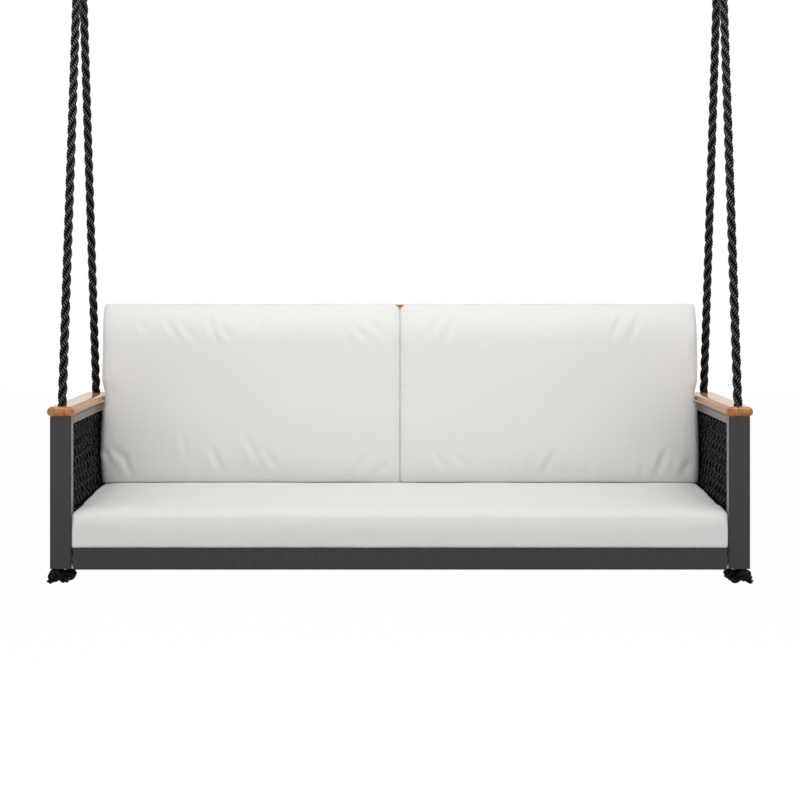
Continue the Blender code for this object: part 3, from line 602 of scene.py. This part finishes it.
# ---- woven panels
WEAVE_ROPE_WIDTH, WEAVE_ROPE_THICKNESS = 0.0098, 0.0060
WEAVE_LANES, LANE_PITCH = 3, 0.0101
WEAVE_SWING = 0.0066  # of a rope's middle, to each side of the row cords
WEAVE_SLACK = 0.30  # share by which a crossing stands out more or less
WEAVE_ASIDE, WEAVE_SLIP = 0.0007, 0.0015  # its stray across the rope and along it
WEAVER_SEED = 707
ROD_TURN_STEPS = 4
ROW_CORD_RADIUS, ROW_STEPS = 0.0030, 12
ROW_TURN = ((0.12, -0.9, 0.7), (0.3, 0, 1), (0.5, 1, 0), (0.7, 0, -1), (0.88, -0.9, -0.7))


def upright_rope(offset, columns, rows, half_u, half_z, rod_z):
    """One rope of the three laid side by side: up one column and down the next, round the
    top and bottom rods, over and under the row cords by turns."""
    pitch, row_pitch = 2 * half_u / columns, 2 * half_z / (rows - 1)
    reach = WEAVE_ROD_RADIUS + WEAVE_ROPE_THICKNESS / 2 + GAP
    hand = np.random.default_rng(WEAVER_SEED + round(offset * 1e4) + columns)
    points, face = [], 1
    for column in range(columns):
        up = 1 if column % 2 == 0 else -1
        u = -half_u + (column + 0.5) * pitch + offset
        if column == 0:
            points += [(u, -face * reach, -rod_z + 0.003), (u, 0, -rod_z - reach)]
            points += [(u, face * reach, -rod_z)]
        for row in range(rows):
            z = up * (row * row_pitch - half_z)
            aside, swing, slip = hand.uniform(-1, 1, 3)
            points += [(u + WEAVE_ASIDE * aside, -face * WEAVE_SWING * (-1) ** row
                        * (1 + WEAVE_SLACK * swing), z + WEAVE_SLIP * slip)]
            if row < rows - 1:
                points += [(u, 0, z + up * row_pitch / 2)]
        for step in range(ROD_TURN_STEPS + 1):
            turn = pi * step / ROD_TURN_STEPS
            shift = pitch * step / ROD_TURN_STEPS if column < columns - 1 else 0
            points += [(u + shift, face * reach * cos(turn), up * (rod_z + reach * sin(turn)))]
        face = -face
    return points


def row_cord(rows, half_z, rod_u):
    """The cord of all the rows: straight across, round the side rod by the points of ROW_TURN
    (share of the row pitch, then reaches outwards and to the front), and back in the next."""
    row_pitch = 2 * half_z / (rows - 1)
    reach = WEAVE_ROD_RADIUS + ROW_CORD_RADIUS + GAP
    points = []
    for row in range(rows):
        way = 1 if row % 2 == 0 else -1
        z = -half_z + row * row_pitch
        near, far = -way * (rod_u - 2.5 * reach), way * (rod_u - 2.5 * reach)
        points += [(near + (far - near) * step / ROW_STEPS, 0, z)
                   for step in range(ROW_STEPS + 1)]
        if row < rows - 1:
            points += [(way * (rod_u + out * reach), n * reach, z + share * row_pitch)
                       for share, out, n in ROW_TURN]
    return points


def woven_panel(prefix, place, side_axis, rod_u, rod_z, columns, rows, apart=False):
    """The ropes and the row cord of one panel; apart makes each rope a piece of its own."""
    half_u = rod_u - WEAVE_ROD_RADIUS - WEAVE_SIDE_MARGIN
    half_z = rod_z - WEAVE_END_MARGIN
    ropes = []
    for lane in range(WEAVE_LANES):
        offset = (lane - 1) * LANE_PITCH
        points = upright_rope(offset, columns, rows, half_u, half_z, rod_z)
        ropes.append([place(*p) for p in spline_through(points, 6)])
    name = f"{prefix}_weave_rope"
    groups = {name + "s": ropes}
    if apart:
        groups = {f"{name}_{number}": [line] for number, line in enumerate(ropes, 1)}
    for piece_name, lines in groups.items():
        piece = rope_from(piece_name, lines, WEAVE, side=side_axis, **ONE_STRAND,
                          strand_radius=WEAVE_ROPE_WIDTH / 2, step=0.0048, sides=12,
                          flatten=WEAVE_ROPE_THICKNESS / WEAVE_ROPE_WIDTH, yarns=3,
                          yarn_lay=0.036, yarn_relief=0.0003)
        belong(piece, "black_rope", f"{prefix}_weave_uprights")
    line = [place(*p) for p in spline_through(row_cord(rows, half_z, rod_u), 6)]
    cord = rope_from(f"{prefix}_weave_row_cord", [line], WEAVE, **ONE_STRAND,
                     strand_radius=ROW_CORD_RADIUS, step=0.004, sides=10, yarns=3,
                     yarn_lay=0.024, yarn_relief=0.0002)
    belong(cord, "black_rope", f"{prefix}_weave_rows")


ARM_WEAVE_X = SEAT_WIDTH / 2 - POST_WIDTH + ARM_WEAVE_INSET
ARM_WEAVE_Z = (ARM_BOTTOM_RAIL_HEIGHT + POST_HEIGHT - ARM_TOP_RAIL_HEIGHT) / 2
for side, sign in SIDES:
    def arm_place(u, n, z, sign=sign):
        return seat(sign * ARM_WEAVE_X - n, SEAT_DEPTH / 2 + u, ARM_WEAVE_Z + z)

    woven_panel(side, arm_place, (0, 1, 0), rod_u=0.3074, rod_z=0.15005, columns=19, rows=11)

BACK_Y, BACK_WEAVE_Z = SEAT_DEPTH - SEAT_RAIL_DEPTH / 2, 0.3366


def back_place(u, n, z):
    return seat(u, BACK_Y + n, BACK_WEAVE_Z + z)


woven_panel("back", back_place, (1, 0, 0), rod_u=0.7924, rod_z=0.2712, columns=51, rows=19,
            apart=True)


# ---- teak caps
def teak_block(name, size, centre, edge, material, bores=()):
    """A planed board with bullnosed edges, bored for the ropes."""
    bm = bmesh.new()
    bmesh.ops.create_cube(bm, size=1)
    bmesh.ops.scale(bm, vec=size, verts=bm.verts)
    bmesh.ops.translate(bm, vec=centre, verts=bm.verts)
    board = link_object(name, mesh_from(bm, name))
    bevel = board.modifiers.new("bullnose", "BEVEL")
    bevel.width, bevel.segments, bevel.limit_method = edge, 8, "ANGLE"
    drills = []
    for middle, lean in bores:
        bm = bmesh.new()
        bmesh.ops.create_cone(bm, cap_ends=True, segments=48, radius1=LEG_SPACING,
                              radius2=LEG_SPACING, depth=4 * size[2])
        drill = link_object("drill", mesh_from(bm, "drill"))
        drill.matrix_world = Vector((0, 0, 1)).rotation_difference(lean).to_matrix().to_4x4()
        drill.location = middle
        drills.append(drill)
        cut = board.modifiers.new("bore", "BOOLEAN")
        cut.object, cut.operation, cut.solver = drill, "DIFFERENCE", "EXACT"
    made = baked(board, name, material, smooth_angle=35)
    for drill in drills:
        bpy.data.objects.remove(drill, do_unlink=True)
    return made


for side, sign in SIDES:
    cap_z = POST_HEIGHT + GAP + CAP_THICKNESS / 2
    bores = []
    for post_y in (FRONT_POST_Y, REAR_POST_Y):
        start = seat(sign * POST_X, post_y, POST_HEIGHT - ROPE_BEND_DROP)
        lean = (seat(sign * HANG_X, HANG_BACK, ROPE_MEET_HEIGHT) - start).normalized()
        middle = start + lean * ((seat(0, 0, cap_z).z - start.z) / lean.z)
        bores.append((middle, lean))
    cap = teak_block(f"{side}_teak_arm_cap",
                     (POST_WIDTH + 2 * CAP_OVERHANG, SEAT_DEPTH + 2 * CAP_OVERHANG, CAP_THICKNESS),
                     seat(sign * POST_X, SEAT_DEPTH / 2, cap_z), BULLNOSE, TEAK_ARM, bores)
    belong(cap, "oiled_teak", f"{side}_arm_cap")

low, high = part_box("back_cap")
high.z -= BACK_CAP_SANDED
cap = teak_block("back_teak_cap", high - low, (low + high) / 2, BACK_CAP_EDGE, TEAK_BACK)
belong(cap, "oiled_teak", "back_cap")


# ---- hanger fittings
def eased_copy(node, name, edge, material):
    """A CAD part's own shape with its sharp edges broken, as tumbling and plating leave them."""
    copy = link_object(name, NODES[node].data.copy())
    bm = bmesh.new()
    bm.from_mesh(copy.data)
    bmesh.ops.remove_doubles(bm, verts=bm.verts, dist=0.00002)
    bmesh.ops.dissolve_limit(bm, angle_limit=radians(1), verts=bm.verts, edges=bm.edges)
    bm.to_mesh(copy.data)
    bm.free()
    bevel = copy.modifiers.new("ease", "BEVEL")
    bevel.width, bevel.segments, bevel.limit_method = edge, 2, "ANGLE"
    bevel.angle_limit = radians(50)
    return baked(copy, name, material, smooth_angle=50)


def welded_ring(name, centre):
    """A ring bent from round bar in the ropes' plane, with the swell of its weld at the top."""
    around, section = 96, 24
    swell, weld, plating = 0.05, 0.12, 0.0001  # weld: half its angle, in radians
    bm = bmesh.new()
    rings = []
    for i in range(around):
        angle = 2 * pi * i / around
        off = min(angle - pi / 2, 2 * pi - (angle - pi / 2), key=abs)
        bar = RING_BAR_RADIUS * (1 + swell * max(0, 1 - (off / weld) ** 2)) - plating
        row = []
        for j in range(section):
            turn = 2 * pi * j / section
            out = RING_RADIUS + bar * cos(turn)
            row.append(bm.verts.new((centre.x + bar * sin(turn), centre.y + out * cos(angle),
                                     centre.z + out * sin(angle))))
        rings.append(row)
    for a, b in zip(rings, rings[1:] + rings[:1]):
        for j in range(section):
            k = (j + 1) % section
            bm.faces.new((a[j], b[j], b[k], a[k]))
    bmesh.ops.recalc_face_normals(bm, faces=bm.faces)
    mesh = mesh_from(bm, name)
    mesh.shade_smooth()
    mesh.materials.append(STEEL)
    return link_object(name, mesh)


for side, sign in SIDES:
    low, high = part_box(f"{side}_rope_ring")
    ring = welded_ring(f"{side}_welded_ring", (low + high) / 2)
    belong(ring, "zinc_plated_steel", f"{side}_rope_ring")
    for part, body in (("hanger_link", "swing"), ("hanger_bracket", "hangers"),
                       ("hanger_pin", "hangers")):
        piece = eased_copy(f"{side}_{part}", f"{side}_{part}_eased", 0.0006, STEEL)
        belong(piece, "zinc_plated_steel", f"{side}_{part}", body=body)


# ---- cushions
SEAM_SINK, SEAM_WIDTH = 0.0012, 0.005  # depth and half width of the groove at a seam
GATHER_HEIGHT, GATHER_SCALE = 0.0017, 30  # of the puckers beside a seam
PUCKER_REACH = 0.045  # how far they run into the panel
LUMP_HEIGHT, LUMP_SCALE = 0.0018, 7  # of the stuffing
FOLD_DEPTH = 0.09  # a crease marks only points this near to its own plane
STUFFING, STUFFING_FRAMES = 2.5, 20  # pressure and length of the simulation
BACK_CUSHION_LEAN = 0.022  # the front face's top lies this far behind its foot
TOP_CROWN, TOP_CROWN_REACH = 0.034, 0.115  # of a back cushion's front panel
FOOT_CROWN, FOOT_CROWN_REACH = 0.040, 0.200
FOOT_ROLL, FOOT_ROLL_REACH = 0.012, 0.040
SIDE_CROWN, SIDE_CROWN_REACH = 0.004, 0.030
FRONT_DROP, FRONT_DROP_REACH = 0.0155, 0.550  # of the seat cushion's sloping top panel
SIDE_DROP, SIDE_DROP_REACH = 0.0020, 0.090
SIDE_DROP_END, SIDE_DROP_FADE = 0.45, 0.25  # it ends where the back cushions stand on it
FRONT_LEAN, FRONT_LEAN_HEIGHT, FRONT_LEAN_REACH = 0.010, 0.060, 0.1  # its front panel
SIDE_LINE = ((0.17, 0.8447), (0.30, 0.8437), (0.37, 0.8425), (0.396, 0.8350), (0.425, 0.8350),
             (0.455, 0.8412), (0.55, 0.8418), (0.62, 0.8398), (0.67, 0.8380))  # z, half width
CORNER_FALL, CORNER_REACH = 0.016, 0.042  # of the back cushions' inner top corners
BACK_FILL = 0.8415  # half width over both back cushions, before they are pressed
# how far a back cushion goes past its CAD box at its inner and outer side: filled, pressed
BACK_PAST = ((0.0075, BACK_FILL - 0.837), (0.0027, 0.02))


def box_grid(low, high, step):
    """Points, quads and flat cloth coordinates of a box's closed surface, in even cells."""
    count = np.maximum(np.round((high - low) / step).astype(int), 4)
    index, points, faces, cloth = {}, [], [], []

    def at(cell):
        if cell not in index:
            index[cell] = len(points)
            points.append(low + (high - low) * np.array(cell) / count)
        return index[cell]

    for axis in range(3):
        a, b = (axis + 1) % 3, (axis + 2) % 3
        for end in (0, count[axis]):
            for i in range(count[a]):
                for j in range(count[b]):
                    ring = [(i, j), (i + 1, j), (i + 1, j + 1), (i, j + 1)]
                    corners = []
                    for p, q in ring if end else ring[::-1]:
                        cell = [0, 0, 0]
                        cell[axis], cell[a], cell[b] = int(end), p, q
                        corners.append(at(tuple(cell)))
                        cloth.append((points[corners[-1]][a], points[corners[-1]][b]))
                    faces.append(corners)
    return np.array(points), faces, np.array(cloth)


def eased_edge(points, axes, corner, ways, radius):
    """Bends one long edge of a box of points to an arc of that radius."""
    ways = np.array(ways)
    v = points[:, axes] - (np.array(corner) + ways * radius)
    inside = ((v * ways) < 0).all(axis=1)
    square = np.abs(v).max(axis=1)
    arc = np.maximum(np.linalg.norm(v, axis=1), 1e-9)
    v = v * np.where(inside, square / arc, 1)[:, None]
    points[:, axes] = v + np.array(corner) + ways * radius


def rounded_box(flat, low, high, radii):
    """radii are those of the front top, front foot, rear top and rear foot, and of the ends."""
    out = flat.copy()
    for (y, way_y), (z, way_z), radius in zip(
            ((low[1], 1), (low[1], 1), (high[1], -1), (high[1], -1)),
            ((high[2], -1), (low[2], 1), (high[2], -1), (low[2], 1)), radii):
        eased_edge(out, [1, 2], (y, z), (way_y, way_z), radius)
    for x, way_x in ((low[0], 1), (high[0], -1)):
        for axis in (1, 2):
            for at, way in ((low[axis], 1), (high[axis], -1)):
                eased_edge(out, [0, axis], (x, at), (way_x, way), radii[4])
    return out


def fullness(distance, reach):
    """0 at a seam, rising to 1 within reach of it; the power gives a stuffed panel's curve."""
    return 1 - (1 - np.clip(distance / reach, 0, 1)) ** 2.3


def points_of(mesh):
    return np.array([v.co for v in mesh.vertices])


def stuffed(piece, cap):
    """Swells the cover with cloth simulation; no point moves further than cap."""
    start = points_of(piece.data)
    cloth = piece.modifiers.new("stuffing", "CLOTH")
    fabric = cloth.settings
    fabric.quality = 5
    fabric.tension_stiffness = fabric.compression_stiffness = 25
    fabric.shear_stiffness, fabric.bending_stiffness = 12, 2.0
    fabric.use_pressure, fabric.uniform_pressure_force = True, STUFFING
    fabric.effector_weights.gravity = 0
    cloth.point_cache.frame_start, cloth.point_cache.frame_end = 1, STUFFING_FRAMES
    for number in range(1, STUFFING_FRAMES + 1):
        SCENE.frame_set(number)
    graph = bpy.context.evaluated_depsgraph_get()
    way = points_of(piece.evaluated_get(graph).data) - start
    piece.modifiers.remove(cloth)
    far = np.linalg.norm(way, axis=1, keepdims=True)
    way *= np.minimum(1, cap / np.maximum(far, 1e-9))
    piece.data.vertices.foreach_set("co", (start + way).ravel())


def stretched(piece, low, high):
    """Fills the box between low and high again, because a swelling cover draws its ends in."""
    points = points_of(piece.data)
    share = (points - points.min(axis=0)) / (points.max(axis=0) - points.min(axis=0))
    piece.data.vertices.foreach_set("co", (low + share * (high - low)).ravel())
    piece.data.update()


def noise_at(points, scale, stretch=(1, 1, 1)):
    return np.array([noise.noise(Vector(p)) for p in points * scale * np.array(stretch)])


def fold_lift(co, across, start, end, sink, width):
    """How far a crease moves each point along its normal: a groove between two ridges, which
    fades towards both ends."""
    a, b = np.array(start), np.array(end)
    run = np.linalg.norm(b - a)
    along = (b - a) / run
    t = (co - a) @ along / run
    s = ((co - a) @ np.cross(np.eye(3)[across], along)) / width
    shape = 0.65 * np.exp(-(s - 1.5) ** 2) + 0.35 * np.exp(-(s + 1.7) ** 2) - np.exp(-s ** 2)
    beyond = np.clip(np.abs(t - 0.5) - 0.5, 0, None) * run / width
    fade = np.exp(-beyond ** 2) * (0.45 + 0.55 * np.sin(pi * np.clip(t, 0, 1)))
    return sink * shape * fade * (np.abs((co - a)[:, across]) < FOLD_DEPTH)


def cushion(name, node, step, radii, across, crown, folds, cap, fill, rest, press=None):
    """One stuffed cushion in its CAD solid's place. across is the axis between its two main
    panels, crown shapes the panels, and folds are creases: two ends, sink and width. It
    fills its box enlarged by fill, and is pressed flat at its box enlarged by rest."""
    low, high = np.array([list(corner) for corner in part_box(node)])
    flat, faces, cloth = box_grid(low, high, step)
    mesh = bpy.data.meshes.new(name)
    mesh.from_pydata(crown(rounded_box(flat, low, high, radii), flat, low, high).tolist(), [],
                     faces)
    mesh.uv_layers.new(name="cloth").data.foreach_set("uv", cloth.ravel())
    shell = link_object(name, mesh)
    stuffed(shell, cap)
    stretched(shell, low - fill[0], high + fill[1])

    beside = [axis for axis in range(3) if axis != across]
    edge = np.min([np.minimum(flat[:, axis] - low[axis], high[axis] - flat[:, axis])
                   for axis in beside], axis=0)
    depth = np.minimum(high[across] - flat[:, across], flat[:, across] - low[across])
    seam = mesh.attributes.new("seam", "FLOAT", "POINT")
    seam.data.foreach_set("value", (edge - depth).astype(np.float32))
    finer = shell.modifiers.new("finer", "SUBSURF")
    finer.levels = finer.render_levels = 1
    cover = baked(shell, name, FABRIC)
    mesh = cover.data
    co, normal = points_of(mesh), np.array([v.normal for v in mesh.vertices])
    off = np.array([point.value for point in mesh.attributes["seam"].data], np.float32)
    gather = np.exp(-(off / PUCKER_REACH) ** 2) * GATHER_HEIGHT
    lift = (gather * noise_at(co, GATHER_SCALE, (1, 0.35, 0.35))
            - SEAM_SINK * np.exp(-(off / SEAM_WIDTH) ** 2))
    lift += LUMP_HEIGHT * noise_at(co, LUMP_SCALE)
    for fold in folds:
        lift += fold_lift(co, across, *fold)
    co = co + normal * lift[:, None]
    if press:
        co = press(co)
    co = np.clip(co, low - rest[0], high + rest[1])
    mesh.vertices.foreach_set("co", co.ravel())
    mesh.update()
    mesh.shade_smooth()
    belong(cover, "off_white_fabric", node)


def seat_crown(out, flat, low, high):
    beside = np.minimum(flat[:, 0] - low[0], high[0] - flat[:, 0])
    back = flat[:, 1] - low[1]
    behind = (back - SIDE_DROP_END) / SIDE_DROP_FADE
    sink = SIDE_DROP * (1 - fullness(beside, SIDE_DROP_REACH)) * np.clip(-behind, 0, 1)
    sink += FRONT_DROP * np.clip(1 - back / FRONT_DROP_REACH, 0, 1)
    out[:, 2] -= sink * np.clip((flat[:, 2] - low[2]) / (high[2] - low[2]), 0, 1) ** 1.5
    above = np.clip((out[:, 2] - high[2] + FRONT_DROP) / FRONT_LEAN_HEIGHT + 1, 0, 1)
    out[:, 1] += FRONT_LEAN * above ** 2 * (1 - fullness(back, FRONT_LEAN_REACH))
    return out


def back_crown(out, flat, low, high):
    height, up = high[2] - low[2], flat[:, 2] - low[2]
    sink = TOP_CROWN * (1 - fullness(high[2] - flat[:, 2], TOP_CROWN_REACH))
    sink += FOOT_CROWN * (1 - fullness(up, FOOT_CROWN_REACH))
    sink += FOOT_ROLL * (1 - fullness(up, FOOT_ROLL_REACH))
    beside = np.minimum(flat[:, 0] - low[0], high[0] - flat[:, 0])
    sink += SIDE_CROWN * (1 - fullness(beside, SIDE_CROWN_REACH))
    front = np.clip((high[1] - out[:, 1]) / (high[1] - low[1]), 0, 1)
    out[:, 1] += front * (sink + BACK_CUSHION_LEAN * (out[:, 2] - low[2]) / height)
    return out


BACK_FRONT, SEAT_TOP = 0.585, 0.165  # the creases' planes, in the seat's own datum
USUAL_CREASE = (24, 11)  # sink in tenths of a millimetre, width in millimetres
# x and z of both ends in millimetres, then the sink and width where they aren't the usual ones
BACK_CREASES = {
    "left": ((-662, 628, -628, 577), (-623, 622, -578, 571), (-544, 639, -516, 565),
             (-510, 611, -476, 577), (-414, 633, -454, 582), (-375, 622, -409, 565),
             (-133, 611, -93, 571), (-93, 628, -37, 577), (-735, 620, -715, 590, 16, 12),
             (-293, 600, -288, 575, 18, 14), (-158, 600, -150, 575, 18, 13),
             (-808, 262, -772, 238, 22, 13), (-776, 240, -758, 190, 30, 11),
             (-832, 262, -818, 232, 30, 9), (-611, 296, -603, 246, 20, 10),
             (-530, 262, -504, 206, 32), (-434, 296, -392, 220), (-383, 256, -342, 208),
             (-96, 254, -124, 192, 32), (-28, 226, -68, 194, 26, 10)),
    "right": ((118, 645, 80, 582), (163, 645, 124, 565), (625, 639, 597, 577, 28),
              (676, 639, 648, 571, 28), (406, 600, 434, 588, 16), (246, 585, 240, 562, 18, 14),
              (370, 580, 378, 562, 16, 12), (530, 580, 528, 560, 16, 11),
              (766, 590, 772, 562, 22, 14), (93, 258, 121, 214), (149, 252, 184, 214),
              (214, 246, 197, 214, 16), (320, 240, 331, 196), (434, 252, 400, 190, 36),
              (476, 220, 470, 192, 18), (530, 218, 530, 190, 18), (577, 220, 580, 192, 16),
              (678, 222, 682, 190, 22), (744, 254, 722, 190, 34, 11),
              (812, 226, 790, 190, 30, 12))}


def back_creases(side):
    folds = []
    for x0, z0, x1, z1, *own in BACK_CREASES[side]:
        sink, width = (*own, *USUAL_CREASE[len(own):])
        folds.append((seat(x0 / 1000, BACK_FRONT, z0 / 1000),
                      seat(x1 / 1000, BACK_FRONT, z1 / 1000), sink / 10000, width / 1000))
    return folds


SEAT_CREASE_AT = (-0.79, -0.70, -0.60, -0.53, -0.39, -0.33, -0.17, -0.12, 0.01, 0.10, 0.22, 0.29,
                  0.34, 0.40, 0.45, 0.50, 0.62, 0.67, 0.76)
SEAT_CREASE_SINK, SEAT_CREASE_WIDTH = 0.0026, 0.006


def seat_creases():
    """Short slanting gathers on the top panel, a hand's width behind the front seam."""
    folds = []
    for number, x in enumerate(SEAT_CREASE_AT):
        run = 0.030 + 0.018 * ((number * 7) % 5) / 4
        near = 0.030 + 0.012 * ((number * 3) % 4) / 3
        folds.append((seat(x - run / 2, near, SEAT_TOP),
                      seat(x + run / 2, near + 1.6 * run, SEAT_TOP),
                      SEAT_CREASE_SINK, SEAT_CREASE_WIDTH))
    return folds


def between_arms(sign):
    """Presses a back cushion's outer side to SIDE_LINE: in at the arm cap, out at the weave."""
    heights, widths = np.array(SIDE_LINE).T
    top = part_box("left_back_cushion")[1][2]

    def pressed(co):
        ratio = np.interp(co[:, 2] + CEILING_Z, heights, widths) / BACK_FILL
        co[:, 0] *= 1 + (ratio - 1) * np.clip(co[:, 0] * sign / BACK_FILL, 0, 1) ** 2
        near = np.clip(1 - co[:, 0] * sign / CORNER_REACH, 0, 1)
        co[:, 2] -= CORNER_FALL * near ** 3.2 * np.exp((co[:, 2] - top) / CORNER_REACH)
        return co

    return pressed


cushion("seat_cushion_cover", "seat_cushion", step=0.012,
        radii=(0.020, 0.005, 0.020, 0.008, 0.005), across=2, crown=seat_crown,
        folds=seat_creases(), cap=0.005,
        fill=((0.005, 0.003, 0.010), (0.005, 0.002, 0.0)),
        rest=((0.0023, 0.0, -0.0004), (0.0023, 0.0, 0.001)))
for side, sign in SIDES:
    (fill_low, fill_high), (rest_low, rest_high) = (pair[::sign] for pair in BACK_PAST)
    cushion(f"{side}_back_cushion_cover", f"{side}_back_cushion", step=0.010,
            radii=(0.009, 0.006, 0.010, 0.006, 0.008), across=1, crown=back_crown,
            folds=back_creases(side), cap=0.006,
            fill=((fill_low, 0.0, 0.011), (fill_high, 0.004, 0.003)),
            rest=((rest_low, 0.008, 0.001), (rest_high, 0.0, 0.001)),
            press=between_arms(sign))


# ---- floor, backdrop and light
FLOOR_DROP, FLOOR_REACH = 1.1, 30.0  # below the foot of the posts, and half its width
PAPER_LIT, PAPER_SEEN, PAPER_GLOW = 0.9, 0.36, 0.82
AMBIENT, SKY_SEEN = 0.47, 1.0
LIGHTS_AIM = seat(0, 0.3, 0.35)


def seen_directly(tree):
    """1 for camera, glossy and transmission rays, which see the studio's white."""
    path = put(tree, "ShaderNodeLightPath").outputs
    first = calculated(tree, "MAXIMUM", path["Is Camera Ray"], path["Is Glossy Ray"])
    return calculated(tree, "MAXIMUM", first, path["Is Transmission Ray"])


def soft_box(name, place, width, height, power):
    lamp = bpy.data.lights.new(name, "AREA")
    lamp.shape, lamp.size, lamp.size_y, lamp.energy = "RECTANGLE", width, height, power
    made = link_object(name, lamp)
    made.location = place
    made.rotation_euler = (LIGHTS_AIM - place).to_track_quat("-Z", "Y").to_euler()


floor_mesh = bpy.data.meshes.new("floor")
corners = [(x * FLOOR_REACH, y * FLOOR_REACH, seat(0, 0, -FLOOR_DROP).z)
           for x, y in ((-1, -1), (1, -1), (1, 1), (-1, 1))]
floor_mesh.from_pydata(corners, [], [(0, 1, 2, 3)])
floor = link_object("floor", floor_mesh)
paper = bpy.data.materials.new("studio_paper")
paper.use_nodes = True
tree = paper.node_tree
tree.nodes.clear()
direct = seen_directly(tree)
tone = put(tree, "ShaderNodeMix", {"Factor": direct, "A": [PAPER_LIT] * 3 + [1],
                                   "B": [PAPER_SEEN] * 3 + [1]}, data_type="RGBA")
matt = first_of(tree, "ShaderNodeBsdfDiffuse", {"Color": tone.outputs["Result"]})
bright = first_of(tree, "ShaderNodeEmission",
                  {"Strength": calculated(tree, "MULTIPLY", direct, PAPER_GLOW)})
both = first_of(tree, "ShaderNodeAddShader", {0: matt, 1: bright})
put(tree, "ShaderNodeOutputMaterial", {"Surface": both})
floor_mesh.materials.append(paper)

SCENE.world = bpy.data.worlds.new("studio")
SCENE.world.use_nodes = True
tree = SCENE.world.node_tree
tree.nodes.clear()
amount = first_of(tree, "ShaderNodeMapRange", {"Value": seen_directly(tree),
                                               "To Min": AMBIENT, "To Max": SKY_SEEN})
sky = first_of(tree, "ShaderNodeBackground", {"Color": (1, 1, 1, 1), "Strength": amount})
put(tree, "ShaderNodeOutputWorld", {"Surface": sky})

soft_box("hanging_softbox", seat(0, -0.3, 1.9), width=3.2, height=0.8, power=22.2)
soft_box("front_softbox", seat(0, -3.5, 0.5), width=5.0, height=2.0, power=26.5)

SCENE.view_settings.view_transform = "Standard"
